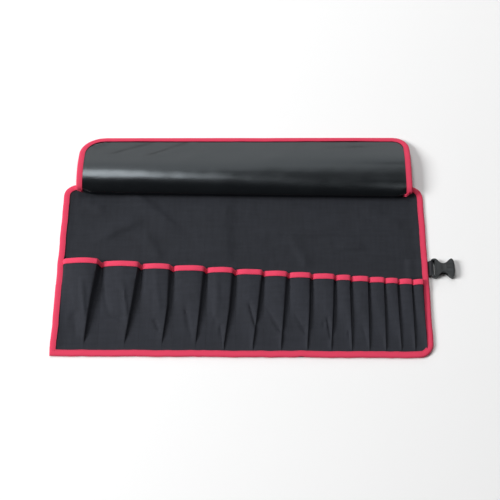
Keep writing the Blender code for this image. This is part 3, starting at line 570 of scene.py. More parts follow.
def stitch_row(line, upward, sizes, closed, sink=0.25):
    """Points and faces of a row of stitches that lie along a line on a surface."""
    steps = np.linalg.norm(np.diff(line, axis=0), axis=1)
    along = np.concatenate([[0.0], np.cumsum(steps)])
    count = max(int(along[-1] / sizes.stitch_pitch), 2)
    pitch = along[-1] / count
    places = (np.arange(count) + 0.5) * pitch
    radius = sizes.thread / 2
    rings = ((-0.5, 0.35, -1.1), (-0.3, 0.9, 0.0), (0.0, 1.0, 0.15), (0.3, 0.9, 0.0), (0.5, 0.35, -1.1))
    sides = 6

    def sample(values, at):
        return np.stack([np.interp(at, along, values[:, axis]) for axis in range(3)], axis=-1)

    reach = sizes.stitch_length / 2
    way = unit(sample(line, np.minimum(places + reach, along[-1])) - sample(line, np.maximum(places - reach, 0.0)))
    up = sample(upward, places)
    up = unit(up - way * (up * way).sum(axis=1, keepdims=True))
    out = np.cross(way, up)
    middle = sample(line, places) + up * radius * (1.0 - sink)
    points = []
    for share, width, lift in rings:
        for side in range(sides):
            turn = 2.0 * math.pi * side / sides
            spot = middle + way * share * sizes.stitch_length + up * radius * (lift + width * math.sin(turn))
            points.append(spot + out * radius * width * math.cos(turn))
    points = np.stack(points, axis=1)
    template = []
    for ring in range(len(rings) - 1):
        for side in range(sides):
            after = (side + 1) % sides
            first, second = ring * sides, (ring + 1) * sides
            template.append((first + side, first + after, second + after, second + side))
    caps = [tuple(range(sides - 1, -1, -1)), tuple((len(rings) - 1) * sides + side for side in range(sides))]
    for cap in caps:
        template.append(cap[:4])
        template.append((cap[0], cap[3], cap[4], cap[5]))
    template = np.asarray(template)
    size = len(rings) * sides
    faces = (template[None] + (np.arange(count) * size)[:, None, None]).reshape(-1, 4)
    return points.reshape(-1, 3), faces


def add_stitches(name, rows):
    """One piece from several rows of stitches."""
    points = []
    faces = []
    start = 0
    for row_points, row_faces in rows:
        points.append(row_points)
        faces.append(row_faces + start)
        start += len(row_points)
    return add_mesh(name, np.concatenate(points), np.concatenate(faces))


class Wire:
    """A shader socket. Sums and products of wires and numbers add Math nodes."""

    def __init__(self, finish, socket):
        self.finish = finish
        self.socket = socket

    def math(self, operation, *others):
        values = dict(enumerate((self, *others)))
        return self.finish.node("ShaderNodeMath", {"operation": operation}, values)

    def __add__(self, other):
        return self.math("ADD", other)

    __radd__ = __add__

    def __mul__(self, other):
        return self.math("MULTIPLY", other)

    __rmul__ = __mul__

    def __sub__(self, other):
        return self.math("SUBTRACT", other)

    def __rsub__(self, other):
        return self * -1.0 + other

    def __truediv__(self, other):
        return self.math("DIVIDE", other)

    def __abs__(self):
        return self.math("ABSOLUTE")

    def __pow__(self, other):
        return self.math("POWER", other)

    def sine(self):
        return self.math("SINE")

    def step(self, start, end):
        """A soft step from 0 at start to 1 at end."""
        return self.finish.node("ShaderNodeMapRange", {"interpolation_type": "SMOOTHSTEP"},
                                {"Value": self, "From Min": start, "From Max": end})


class Finish:
    """A material in the making."""

    def __init__(self, name):
        self.material = bpy.data.materials.new(name)
        self.material.use_nodes = True
        self.tree = self.material.node_tree
        self.tree.nodes.clear()

    def node(self, kind, settings=None, sockets=None, output=0):
        """Adds any node: its settings first, then the values or wires of its sockets."""
        made = self.tree.nodes.new(kind)
        for key, value in (settings or {}).items():
            setattr(made, key, value)
        for key, value in (sockets or {}).items():
            if isinstance(value, Wire):
                self.tree.links.new(value.socket, made.inputs[key])
            else:
                made.inputs[key].default_value = value
        return Wire(self, made.outputs[output])

    def cloth_map(self):
        """The two lengths along a sheet, in metres."""
        spot = self.node("ShaderNodeUVMap", {"uv_map": "cloth"})
        split = {"Vector": spot}
        return [self.node("ShaderNodeSeparateXYZ", None, split, output) for output in (0, 1)]

    def noise(self, size, detail=3.0, roughness=0.5, stretch=(1.0, 1.0, 1.0)):
        """Clouds of about the given size in metres, from 0 to 1."""
        place = self.node("ShaderNodeTexCoord", None, None, 3)
        scaled = self.node("ShaderNodeVectorMath", {"operation": "MULTIPLY"}, {0: place, 1: stretch})
        sockets = {"Vector": scaled, "Scale": 1.0 / size, "Detail": detail, "Roughness": roughness}
        return self.node("ShaderNodeTexNoise", None, sockets)

    def blend(self, amount, first, second):
        """Colours mixed by an amount from 0 to 1."""
        return self.node("ShaderNodeMix", {"data_type": "RGBA"}, {0: amount, 6: first, 7: second}, 2)

    def bump(self, height, distance, strength=1.0, normal=None):
        sockets = {"Height": height, "Distance": distance, "Strength": strength}
        if normal is not None:
            sockets["Normal"] = normal
        return self.node("ShaderNodeBump", None, sockets)

    def surface(self, sockets):
        """The Principled shader and the output. The material is ready after it."""
        shader = self.node("ShaderNodeBsdfPrincipled", None, sockets)
        self.node("ShaderNodeOutputMaterial", None, {"Surface": shader}, 0) if False else None
        end = self.tree.nodes.new("ShaderNodeOutputMaterial")
        self.tree.links.new(shader.socket, end.inputs["Surface"])
        return self.material


def tint(colour, factor):
    return (*(min(channel * factor, 1.0) for channel in colour), 1.0)


def woven_cloth(name, colour, pitch, roughness=0.80):
    """Matt plain-woven polyester."""
    finish = Finish(name)
    u, v = finish.cloth_map()
    turn = math.pi / pitch
    weave = (u * turn).sine() * (v * turn).sine()
    yarns = finish.noise(6.0 * MM, 2.0, 0.6, (1.0, 0.12, 1.0))
    picks = finish.noise(6.0 * MM, 2.0, 0.6, (0.12, 1.0, 1.0))
    clouds = finish.noise(70.0 * MM, 3.0)
    fluff = finish.noise(1.6 * MM, 2.0)
    shade = (weave * 0.10 + (yarns + picks) * 0.42 + clouds * 0.34 + fluff * 0.30 - 0.24).step(0.0, 1.0)
    base = finish.blend(shade, tint(colour, 0.74), tint(colour, 1.34))
    rough = clouds * 0.10 + fluff * 0.06 + (roughness - 0.08)
    cloth = finish.bump(weave * 0.5 + (yarns + picks) * 0.7 + fluff * 0.6, 0.10 * MM, 0.7)
    return finish.surface({
        "Base Color": base, "Roughness": rough, "Normal": cloth,
        "Specular IOR Level": 0.20,
    })


def coated_cloth(name, colour, pitch):
    """Cloth with a smooth waterproof coat that shows the weave faintly."""
    finish = Finish(name)
    u, v = finish.cloth_map()
    turn = math.pi / pitch
    weave = (u * turn).sine() * (v * turn).sine()
    clouds = finish.noise(60.0 * MM, 3.0)
    scuffs = finish.noise(14.0 * MM, 4.0, 0.65, (0.35, 1.0, 1.0))
    grain = finish.noise(1.1 * MM, 2.0)
    base = finish.blend((clouds * 0.5 + scuffs * 0.35 + grain * 0.15).step(0.2, 0.8),
                        tint(colour, 0.86), tint(colour, 1.18))
    rough = clouds * 0.06 + scuffs.step(0.45, 0.75) * 0.04 + grain * 0.03 + 0.17
    skin = finish.bump(weave * 0.3 + grain * 0.5, 0.02 * MM, 0.5)
    return finish.surface({
        "Base Color": base, "Roughness": rough, "Normal": skin,
        "Specular IOR Level": 0.7, "Specular Tint": (0.84, 0.94, 1.0, 1.0),
    })


def ribbed_tape(name, colour, face):
    """Red woven tape: fine ribs across it, with painted shade along its sewn groove, and paler along its fold."""
    finish = Finish(name)
    u, v = finish.cloth_map()
    ribs = (u * (2.0 * math.pi / (0.9 * MM))).sine() * 0.5 + 0.5
    yarns = finish.noise(2.2 * MM, 2.0, 0.6)
    clouds = finish.noise(30.0 * MM, 3.0)
    nose = abs(v - face * 1.10)
    # Paler along the tape's fold at its nose
    pale_edge = 1.0 - nose.step(0.6 * MM, 3.2 * MM)
    # Painted shade: the tape is darker in the sewn groove along its stitch line
    groove_shade = 1.0 - abs(nose - face * STITCH_PLACE).step(0.3 * MM, 1.6 * MM)
    shade = (ribs * 0.20 + yarns * 0.34 + clouds * 0.36 + pale_edge * 0.18 - groove_shade * 0.22 + 0.06).step(0.0, 1.0)
    base = finish.blend(shade, tint(colour, 0.76), tint(colour, 1.18))
    rough = 0.80 + yarns * 0.10
    cord = finish.bump(ribs * 0.7 + yarns * 0.6, 0.12 * MM, 0.7)
    return finish.surface({
        "Base Color": base, "Roughness": rough, "Normal": cord,
        "Specular IOR Level": 0.12,
    })


def twisted_thread(name, colour):
    finish = Finish(name)
    twist = finish.noise(0.5 * MM, 2.0, 0.5, (1.0, 1.0, 3.0))
    base = finish.blend(twist, tint(colour, 0.7), tint(colour, 1.35))
    strands = finish.bump(twist, 0.08 * MM, 0.6)
    return finish.surface({
        "Base Color": base, "Roughness": 0.62 + twist * 0.12, "Normal": strands, "Specular IOR Level": 0.35,
    })


def webbing_weave(name, colour):
    """Webbing with rows of slanting yarns."""
    finish = Finish(name)
    u, v = finish.cloth_map()
    rows = (u * (2.0 * math.pi / (2.4 * MM))).sine()
    slant = ((v + abs(rows) * 0.6 * MM) * (2.0 * math.pi / (1.3 * MM))).sine()
    fluff = finish.noise(1.2 * MM, 2.0)
    base = finish.blend((slant * 0.25 + rows * 0.15 + fluff * 0.6 + 0.2).step(0.0, 1.0),
                        tint(colour, 0.7), tint(colour, 1.6))
    yarns = finish.bump(slant * 0.4 + abs(rows) * 0.5 + fluff * 0.3, 0.16 * MM, 0.8)
    return finish.surface({
        "Base Color": base, "Roughness": fluff * 0.12 + 0.70, "Normal": yarns, "Specular IOR Level": 0.3,
    })


def moulded_plastic(name, colour):
    """Black plastic with a fine moulded grain, and a painted highlight in patches along its convex edges."""
    finish = Finish(name)
    grain = finish.noise(0.5 * MM, 2.0)
    clouds = finish.noise(9.0 * MM, 3.0)
    # Painted highlight: convex edges, found by pointiness, are made paler in patches
    edges = finish.node("ShaderNodeNewGeometry", None, None, 7).step(0.51, 0.60)
    pale_edge = edges * clouds.step(0.35, 0.65)
    base = finish.blend(pale_edge * 0.7 + grain * 0.2, tint(colour, 0.9), tint(colour, 2.1))
    rough = 0.36 + clouds * 0.10 + grain * 0.06 + pale_edge * 0.10
    skin = finish.bump(grain, 0.05 * MM, 0.4)
    return finish.surface({
        "Base Color": base, "Roughness": rough, "Normal": skin, "Specular IOR Level": 0.5,
    })


def pale_floor(name, colour):
    finish = Finish(name)
    clouds = finish.noise(0.6, 2.0)
    base = finish.blend(clouds, tint(colour, 0.99), tint(colour, 1.01))
    return finish.surface({"Base Color": base, "Roughness": 0.9, "Specular IOR Level": 0.1})


def dress(piece, material, nodes=()):
    """Gives a piece its finish and its place in the frame."""
    piece.data.materials.clear()
    piece.data.materials.append(material)
    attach(piece, "root")
    if nodes:
        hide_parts(*nodes)
    return piece


def panel_grid(sizes):
    """The middle of the panel's cloth. Rows close up towards the rounded corners."""
    rows = 132
    columns = 224
    turn = np.linspace(-1.0, 1.0, rows)
    reach = HALF_DEPTH - TAPE_ROOM
    y = reach * (0.78 * turn + 0.22 * np.sin(turn * math.pi / 2) ** 3 * 1.0)
    y[0], y[-1] = -reach, reach
    left = outline_x(y, -1, TAPE_ROOM)
    right = outline_x(y, 1, TAPE_ROOM)
    share = np.linspace(0.0, 1.0, columns)
    x = mix(left[:, None], right[:, None], share[None, :])
    y = np.repeat(y[:, None], columns, axis=1)
    bare = ramp(y, mouth_y(x) - 0.01, mouth_y(x) + 0.02) * ramp(edge_room(x, y), 0.012, 0.03)
    flat = 1.0 - (1.0 - ramp(np.hypot(x, y), 0.01, 0.02))
    z = panel_underside(x, y, sizes.tape_face) + CLOTH / 2
    z = z + np.maximum(crumple(x, y, 3), -0.4) * sizes.crumple * 0.8 * bare * flat + 0.1 * MM * bare
    return np.stack([x, y, z], axis=-1)


def pocket_shape(steps):
    """Dense sections of a pocket at the four keyed places, as (key, column, place or rise)."""
    table = np.asarray(rows_of(POCKET_SECTION), float)
    keys = [smooth_through(table[:, 2 * key:2 * key + 2], steps) for key in range(len(SECTION_KEYS))]
    shape = np.stack(keys)
    shape[:, :, 1] = np.maximum(shape[:, :, 1], 0.0)
    return shape


def key_weights(along):
    """How much each keyed section counts at a share of the length."""
    own = np.eye(len(SECTION_KEYS))
    return np.stack([np.interp(along, SECTION_KEYS, row) for row in own], axis=-1)


def pocket_grid(sizes):
    """The middle of the pockets' one strip of cloth, gathered into knife pleats at its foot."""
    foot_rows = 14
    body_rows = 52
    flat = sizes.tape_face + GAP
    foot = flat + RIM_SAG
    insets = np.concatenate([[TAPE_ROOM], np.linspace(flat * 0.5, flat, 3), np.linspace(flat, foot, foot_rows)[1:]])
    along = np.concatenate([np.zeros(len(insets)), np.linspace(0.0, 1.0, body_rows)[1:], np.ones(3)])
    swell = np.concatenate([ramp(insets, flat * 0.8, foot), np.ones(len(along) - len(insets))])
    band = np.linspace(0.0, 1.0, 4)[1:]
    shape = pocket_shape(3)
    section = np.einsum("rk,kcp->rcp", key_weights(along), shape)
    rise_share = np.interp(along, *POCKET_RISE_ROWS)
    blocks = []

    def block(x, rise):
        """Points of a stretch of the strip, given each point's X and its rise over flat cloth."""
        y = np.empty_like(x)
        count = len(insets)
        y[:count] = insets[:, None] - HALF_DEPTH
        start = mouth_y(x) - flat
        y[count:] = mix(foot - HALF_DEPTH, start[count:], along[count:, None])
        y[-3:] = mix(start[-3:], (mouth_y(x) - TAPE_ROOM)[-3:], band[:, None])
        lift = TAPE_ROOM * ramp(y, start - MOUTH_SAG, start)
        base = panel_underside(x, y, sizes.tape_face) + CLOTH + GAP + lift + POCKET_CLOTH / 2
        pressed = np.clip(folds(x, y, POCKET_FOLDS), -0.78 * rise, 2.6 * MM)
        pressed = pressed * ramp(rise, 0.2 * MM, 2.2 * MM)
        ripple = crumple(x * 1.5, y * 0.75, 11) * sizes.crumple * ramp(rise, 0.3 * MM, 4.0 * MM)
        blocks.append(np.stack([x, y, base + rise + pressed + ripple], axis=-1))

    rows_y = np.concatenate([insets - HALF_DEPTH, np.zeros(len(along) - len(insets))])
    limit = np.where(rows_y < 0.0, outline_x(rows_y, 1, TAPE_ROOM), HALF_WIDTH - TAPE_ROOM)
    tail = np.linspace(0.0, 1.0, 4)
    x = mix(TAPE_ROOM - HALF_WIDTH, flat - HALF_WIDTH, tail[:-1])
    block(np.repeat(x[None, :], len(along), axis=0), np.zeros((len(along), 3)))
    last = len(RISES) - 1
    for number, full in enumerate(RISES):
        left = max(SEAMS[number], flat - HALF_WIDTH)
        right = np.full(len(along), min(SEAMS[number + 1], HALF_WIDTH - flat))
        if number == last:
            right = np.minimum(right, limit - 1.0 * MM)
        size = full / RISES[0]
        rise = mix(PLEAT_RISE * mix(0.6, 1.0, size), full, rise_share) * swell
        ridge = np.interp(along, RIDGE_KEYS, rows_of(POCKET_RIDGES)[number])[:, None]
        place = section[:, :, 0]
        place = np.where(place < 1.0, ridge * place, ridge + (1.0 - ridge) * (place - 1.0))
        x = mix(left, right[:, None], place)
        if number < FADING_FEET:
            rise = rise * ramp(along, -0.04, 0.14)
        height = rise[:, None] * np.maximum(section[:, :, 1], 0.0)
        stop = None if number == last else -1
        block(x[:, :stop], height[:, :stop])
    x = mix(right[:, None], limit[:, None], tail[None, 1:])
    block(x, np.zeros_like(x))
    return np.concatenate(blocks, axis=1)


def outline_stations(step=3.0 * MM):
    """Points round the panel's outline with the ways in, anticlockwise from the square near left corner."""
    far_side = HALF_WIDTH - FAR_RADIUS
    far_end = HALF_DEPTH - FAR_RADIUS
    near_side = HALF_WIDTH - NEAR_RADIUS
    near_end = HALF_DEPTH - NEAR_RADIUS
    points = [(-HALF_WIDTH, -HALF_DEPTH)]
    inward = [(1.0, 1.0)]

    def straight(start, end, way):
        count = max(int(math.dist(start, end) / step), 1)
        for share in np.linspace(0.0, 1.0, count + 1)[1:-1]:
            points.append(tuple(mix(np.asarray(start), np.asarray(end), share)))
            inward.append(way)

    def arc(centre, radius, first):
        for turn in np.radians(np.linspace(first, first + 90.0, 17)):
            out = (math.cos(turn), math.sin(turn))
            points.append((centre[0] + radius * out[0], centre[1] + radius * out[1]))
            inward.append((-out[0], -out[1]))

    straight((-HALF_WIDTH, -HALF_DEPTH), (near_side, -HALF_DEPTH), (0.0, 1.0))
    arc((near_side, -near_end), NEAR_RADIUS, -90.0)
    straight((HALF_WIDTH, -near_end), (HALF_WIDTH, far_end), (-1.0, 0.0))
    arc((far_side, far_end), FAR_RADIUS, 0.0)
    straight((far_side, HALF_DEPTH), (-far_side, HALF_DEPTH), (0.0, -1.0))
    arc((-far_side, far_end), FAR_RADIUS, 90.0)
    straight((-HALF_WIDTH, far_end), (-HALF_WIDTH, -HALF_DEPTH), (1.0, 0.0))
    return np.asarray(points), np.asarray(inward)


def held_by_edge(x, y, inward, tape_face):
    """The thickness of what lies on the panel inside its tape."""
    flap_half = FLAP_TAPE_HIGH.x
    far = (CLOTH + GAP) * (1.0 - ramp(np.abs(x), flap_half - tape_face / 2, flap_half + tape_face))
    mouth = mouth_y(x)
    band = mouth - tape_face - GAP
    past = 1.0 - ramp(y, mouth - GAP, mouth + tape_face)
    side = (POCKET_CLOTH + GAP) * past + TAPE_ROOM * ramp(y, band - MOUTH_SAG, band) * past
    return np.where(inward[:, 1] < -0.3, far, side)


class TOOLROLL_OT_panel(bpy.types.Operator):
    """Makes the panel's woven cloth."""

    bl_idname = "toolroll.panel"
    bl_label = "Panel"

    def execute(self, context):
        sizes = context.scene.toolroll_sizes
        middle = panel_grid(sizes)
        piece = add_sheet("panel_sheet", middle, sizes.cloth)
        material = woven_cloth("panel_cloth", context.scene.toolroll_colours.panel, sizes.weave)
        dress(piece, material, ["main_panel"])
        return {"FINISHED"}


class TOOLROLL_OT_pockets(bpy.types.Operator):
    """Makes the pockets' strip of cloth with its knife pleats."""

    bl_idname = "toolroll.pockets"
    bl_label = "Pockets"

    def execute(self, context):
        sizes = context.scene.toolroll_sizes
        middle = pocket_grid(sizes)
        piece = add_sheet("pocket_sheet", middle, sizes.cloth)
        material = woven_cloth("pocket_cloth", context.scene.toolroll_colours.pocket, sizes.weave)
        dress(piece, material, POCKET_NODES)
        depth = mouth_y(-HALF_WIDTH) + HALF_DEPTH - TAPE_ROOM
        return {"FINISHED"}


class TOOLROLL_OT_pocket_tape(bpy.types.Operator):
    """Makes the tape folded over the pockets' top edge."""

    bl_idname = "toolroll.pocket_tape"
    bl_label = "Pocket tape"

    def execute(self, context):
        sizes = context.scene.toolroll_sizes
        middle = pocket_grid(sizes)
        line = middle[-1, 3:-3]
        slope = unit(np.gradient(line * (1.0, 0.0, 1.0), axis=0))
        upward = np.stack([-slope[:, 2], np.zeros(len(slope)), slope[:, 0]], axis=-1)
        points = line.copy()
        points[:, 1] = mouth_y(line[:, 0])
        inward = np.tile((0.0, -1.0, 0.0), (len(line), 1))
        half = POCKET_CLOTH / 2 + GAP + TAPE
        low = np.full(len(line), -half)
        high = np.full(len(line), half)
        pinch = np.zeros(len(line))
        for seam in SEAMS[1:-1]:
            pinch = np.maximum(pinch, np.exp(-((line[:, 0] - seam) / (1.6 * MM)) ** 2))
        high = high - pinch * 0.9 * MM
        tape, upper, lower = add_tape("pocket_tape", (points, inward, upward, low, high), sizes, False)
        dress(tape, tape_finish(context), ["pocket_binding"])
        STITCH_LINES["pocket_tape"] = [upper]
        return {"FINISHED"}


class TOOLROLL_OT_edge_tape(bpy.types.Operator):
    """Makes the tape folded round the whole panel."""

    bl_idname = "toolroll.edge_tape"
    bl_label = "Edge tape"

    def execute(self, context):
        sizes = context.scene.toolroll_sizes
        spots, inward = outline_stations()
        x, y = spots.T
        held = held_by_edge(x, y, inward, sizes.tape_face)
        under = strap_lift(x + inward[:, 0] * TAPE_ROOM, y + inward[:, 1] * TAPE_ROOM)
        low = under
        high = under + TAPE_ROOM + CLOTH + held + GAP + TAPE
        wave = crumple(x, y, 23, 60.0 * MM)
        points = np.stack([x, y, np.zeros_like(x)], axis=-1)
        inward = np.column_stack([inward, np.zeros(len(inward))])
        points = points + inward * ((wave + 1.0) * 0.55 * MM)[:, None]
        upward = np.tile((0.0, 0.0, 1.0), (len(points), 1))
        stations = (points, inward, upward, low, high + wave * 0.12 * MM)
        tape, upper, lower = add_tape("edge_tape", stations, sizes, True, flat_below=True)
        dress(tape, tape_finish(context), ["edge_binding"])
        STITCH_LINES["edge_tape"] = [close_line(upper), close_line(lower)]
        return {"FINISHED"}


def close_line(line):
    """A line and its upward ways, joined end to end."""
    return tuple(np.concatenate([values, values[:1]]) for values in line)


def tape_finish(context):
    """The tape's one material, made the first time that it is asked for."""
    found = bpy.data.materials.get("edge_tape")
    sizes = context.scene.toolroll_sizes
    return found or ribbed_tape("edge_tape", context.scene.toolroll_colours.tape, sizes.tape_face)


STITCH_LINES = {}


def flap_path(x):
    """The middle of the flap's cloth in the YZ plane, as (row, X) arrays of Y and Z."""
    in_tape = TAPE_ROOM + CLOTH + GAP + CLOTH / 2
    crest_left = FLAP_HIGH.z - CLOTH / 2 - 0.4 * MM
    share = np.clip(x / (FLAP_HIGH.x - FLAP_LOW.x) + 0.5, 0.0, 1.0)
    crest = crest_left * mix(1.0, FLAP_RIGHT_CREST, share)
    fold_y = FLAP_FRONT + CLOTH / 2
    free_y = FLAP_HIGH.y - 0.3 * MM
    slope_end = TAPE_ROOM + CLOTH / 2 + GAP
    rows = rows_of(FLAP_SECTION)
    y = [HALF_DEPTH - TAPE_ROOM, HALF_DEPTH - TAPE_ROOM - 11.0 * MM]
    z = [np.full_like(x, in_tape), np.full_like(x, in_tape)]
    turn = ramp(share, 0.40, 1.0)
    for run, left_rise, right_rise in rows:
        rise = mix(left_rise, right_rise, turn)
        y.append(mix(fold_y, free_y, run))
        low = mix(in_tape, slope_end, np.clip((run - 0.59) / 0.41, 0.0, 1.0))
        z.append(mix(low, crest, rise))
    return np.asarray(y), np.stack(z)


def flap_grid(sizes):
    """The middle of the flap's cloth, from the panel's far tape round its fold to its free edge."""
    columns = 200
    rows = 104
    share = np.linspace(0.0, 1.0, columns)
    free_y = FLAP_HIGH.y - 0.3 * MM
    x = mix(FLAP_LOW.x, FLAP_HIGH.x, share)
    y, z = flap_path(x)
    lines = []
    for column in range(columns):
        curve = smooth_through(np.column_stack([y, z[:, column]]), 8)
        lines.append(resample(curve, rows))
    lines = np.stack(lines, axis=1)
    y, z = lines[:, :, 0], lines[:, :, 1]
    fold = ramp(z, 3.5 * MM, 8.0 * MM) * (1.0 - ramp(y, FLAP_FRONT, FLAP_FRONT + 50.0 * MM))
    y = y + FLAP_DRAW * (1.0 - share) * fold
    middle_x = (FLAP_LOW.x + FLAP_HIGH.x) / 2
    half = (FLAP_HIGH.x - FLAP_LOW.x) / 2
    grid_x = np.empty_like(y)
    for side, radius in zip((-1, 1), FLAP_RADII):
        radius = radius - TAPE_ROOM
        drop = np.maximum(y - (free_y - radius), 0.0)
        drawn = radius - np.sqrt(np.maximum(radius ** 2 - drop ** 2, 0.0))
        reach = half - drawn
        own = (share < 0.5) if side < 0 else (share >= 0.5)
        spread = np.abs(2.0 * share - 1.0)
        grid_x[:, own] = (middle_x + side * reach * spread[None, :])[:, own]
    front = int(np.argmin(y[:, columns // 2]))
    under = (1.0 - ramp(z, 3.0 * MM, 15.0 * MM)) * (np.arange(rows)[:, None] < front)
    grid_x = grid_x - np.sign(grid_x - middle_x) * FLAP_HOOK * under * ramp(np.abs(grid_x - middle_x), 0.0, half)
    back = np.clip((y - y[front]) / (free_y - y[front]), 0.0, 1.0) * (np.arange(rows)[:, None] > front)
    y = y + FLAP_SKEW * (grid_x - middle_x) / half * back
    end = 1.0 - ramp(half - np.abs(grid_x - middle_x), 0.0, 30.0 * MM)
    y = y + FLAP_RECEDE * end * (1.0 - ramp(z, 4.0 * MM, 26.0 * MM)) * ramp(0.166 - y, 0.0, 10.0 * MM)
    grid_x = grid_x + FLAP_SHIFT * ramp(z, 4.0 * MM, 15.0 * MM) + FLAP_SHIFT * back * (1.0 - ramp(z, 4.0 * MM, 15.0 * MM))
    grid = np.stack([grid_x, y, z], axis=-1)
    along = cloth_lengths(grid)[:, :, 1]
    along = along - along[front][None, :]
    over = ramp(along, 4.0 * MM, 30.0 * MM) * (1.0 - ramp(along, along.max() - 0.03, along.max()))
    inner = ramp(half - np.abs(grid_x - middle_x), 0.006, 0.03)
    lift = folds(grid_x, along, FLAP_FOLDS) + crumple(grid_x, along, 31, 170.0 * MM) * sizes.crumple * 0.9
    normals = -grid_normals(grid)
    normals = np.where(normals[..., 2:] * (along[..., None] > 0) < 0, -normals, normals)
    return grid + normals * (lift * over * inner)[..., None]


class TOOLROLL_OT_flap(bpy.types.Operator):
    """Makes the flap of coated cloth, folded back over the panel's far edge."""

    bl_idname = "toolroll.flap"
    bl_label = "Flap"

    def execute(self, context):
        sizes = context.scene.toolroll_sizes
        middle = flap_grid(sizes)
        piece = add_sheet("flap_sheet", middle, sizes.cloth)
        material = coated_cloth("coated_cloth", context.scene.toolroll_colours.coating, sizes.weave)
        dress(piece, material, ["flap", "flap_root"])
        return {"FINISHED"}


class TOOLROLL_OT_flap_tape(bpy.types.Operator):
    """Makes the tape round the flap's sides and free edge."""

    bl_idname = "toolroll.flap_tape"
    bl_label = "Flap tape"

    def execute(self, context):
        sizes = context.scene.toolroll_sizes
        middle = flap_grid(sizes)
        normals = grid_normals(middle)
        front = int(np.argmin(middle[:, 0, 1]))
        start = front
        while start > 0 and middle[start, 0, 2] > 6.5 * MM:
            start -= 1
        border = [(row, 0) for row in range(start, len(middle))]
        border += [(len(middle) - 1, column) for column in range(1, middle.shape[1] - 1)]
        border += [(row, middle.shape[1] - 1) for row in range(len(middle) - 1, start - 1, -1)]
        index = tuple(np.asarray(border).T)
        points = middle[index]
        upward = normals[index]
        way = unit(np.gradient(points, axis=0))
        inward = unit(np.cross(way, upward))
        outer = points - inward * TAPE_ROOM
        half = CLOTH / 2 + GAP + TAPE
        level = np.full(len(points), half)
        tape, upper, lower = add_tape("flap_tape", (outer, inward, upward, -level, level), sizes, False)
        dress(tape, tape_finish(context), ["flap_binding"])
        STITCH_LINES["flap_tape"] = [upper, lower]
        return {"FINISHED"}


class TOOLROLL_OT_stitching(bpy.types.Operator):
    """Sews the tapes and the seams between the pockets."""

    bl_idname = "toolroll.stitching"
    bl_label = "Stitching"

    def execute(self, context):
        sizes = context.scene.toolroll_sizes
        colours = context.scene.toolroll_colours
        if not STITCH_LINES:
            raise RuntimeError("the tapes have to be made before their stitching")
        thread = twisted_thread("tape_thread", colours.tape_thread)
        for name, lines in STITCH_LINES.items():
            rows = [stitch_row(line, upward, sizes, False) for line, upward in lines]
            dress(add_stitches(name + "_stitches", rows), thread)
        rows = []
        flat = sizes.tape_face + GAP
        for seam in SEAMS[1:-1]:
            start = flat - HALF_DEPTH + 1.0 * MM
            end = mouth_y(seam) - flat - 1.0 * MM
            y = np.linspace(start, end, 60)
            x = np.full_like(y, seam)
            lift = TAPE_ROOM * ramp(y, end - MOUTH_SAG, end)
            z = panel_underside(x, y, sizes.tape_face) + CLOTH + GAP + lift + POCKET_CLOTH / 2 + sizes.cloth / 2
            line = np.stack([x, y, z], axis=-1)
            rows.append(stitch_row(line, np.tile((0.0, 0.0, 1.0), (len(y), 1)), sizes, False, 0.6))
        seam_thread = twisted_thread("seam_thread", colours.seam_thread)
        dress(add_stitches("pocket_seam_stitches", rows), seam_thread)
        return {"FINISHED"}


class TOOLROLL_OT_strap(bpy.types.Operator):
    """Makes the loop of webbing that holds the buckle."""

    bl_idname = "toolroll.strap"
    bl_label = "Strap"

    def execute(self, context):
        start = STRAP_LOW.x
        bar_start = BUCKLE_LOW.x
        bar_end = bar_start + BAR_LENGTH
        ply = 0.5 * MM
        second = ply + 1.3 * MM
        clear = GAP + ply
        top = BAR_LEVEL + BAR_HEIGHT / 2 + clear
        bottom = BAR_LEVEL - BAR_HEIGHT / 2 - clear
        out = [(mix(start, HALF_WIDTH, share), ply) for share in (0.0, 0.3, 0.6, 0.9, 1.0)]
        out += [(bar_start - clear, bottom), ((bar_start + bar_end) / 2, bottom)]
        middle_z = (top + bottom) / 2
        reach = bar_end + clear - BAR_LENGTH * 0.3
        for turn in (-60.0, -30.0, 0.0, 30.0, 60.0):
            angle = math.radians(turn)
            out.append((reach + BAR_LENGTH * 0.3 * math.cos(angle), middle_z + (top - middle_z) * math.sin(angle)))
        out += [((bar_start + bar_end) / 2, top), (bar_start - clear, top)]
        out += [(mix(start, HALF_WIDTH, share), second) for share in (1.0, 0.9, 0.6, 0.3, 0.0)]
        line = smooth_through(np.asarray(out), 5)
        across = np.linspace(STRAP_LOW.y, STRAP_HIGH.y, 13)
        x = np.repeat(line[:, :1], len(across), axis=1)
        z = np.repeat(line[:, 1:], len(across), axis=1)
        y = np.repeat(across[None, :], len(line), axis=0)
        middle = np.stack([x, y, z], axis=-1)
        piece = add_sheet("strap_webbing", middle, 0.9 * MM)
        material = webbing_weave("webbing", context.scene.toolroll_colours.webbing)
        dress(piece, material, ["buckle_strap"])
        return {"FINISHED"}


def cut_box(piece, name, low, high, bevel=0.0):
    """Cuts a box out of a piece."""
    shape = bmesh.new()
    bmesh.ops.create_cube(shape, size=1.0)
    size = Vector(high) - Vector(low)
    shape.transform(Matrix.Translation((Vector(high) + Vector(low)) / 2) @ Matrix.Diagonal((*size, 1.0)))
    if bevel:
        bmesh.ops.bevel(shape, geom=list(shape.edges), offset=bevel, segments=3, affect="EDGES")
    mesh = bpy.data.meshes.new(name)
    shape.to_mesh(mesh)
    shape.free()
    cutter = bpy.data.objects.new(name, mesh)
    bpy.context.scene.collection.objects.link(cutter)
    cut = piece.modifiers.new(name, "BOOLEAN")
    cut.operation = "DIFFERENCE"
    cut.object = cutter
    return cutter


def settle(piece, cutters):
    """Applies a piece's modifiers and removes the boxes that cut it."""
    shown = piece.evaluated_get(bpy.context.evaluated_depsgraph_get())
    mesh = bpy.data.meshes.new_from_object(shown)
    piece.modifiers.clear()
    old = piece.data
    piece.data = mesh
    bpy.data.meshes.remove(old)
    for cutter in cutters:
        bpy.data.objects.remove(cutter, do_unlink=True)
    mesh.shade_smooth()
    mesh.set_sharp_from_angle(angle=math.radians(35.0))


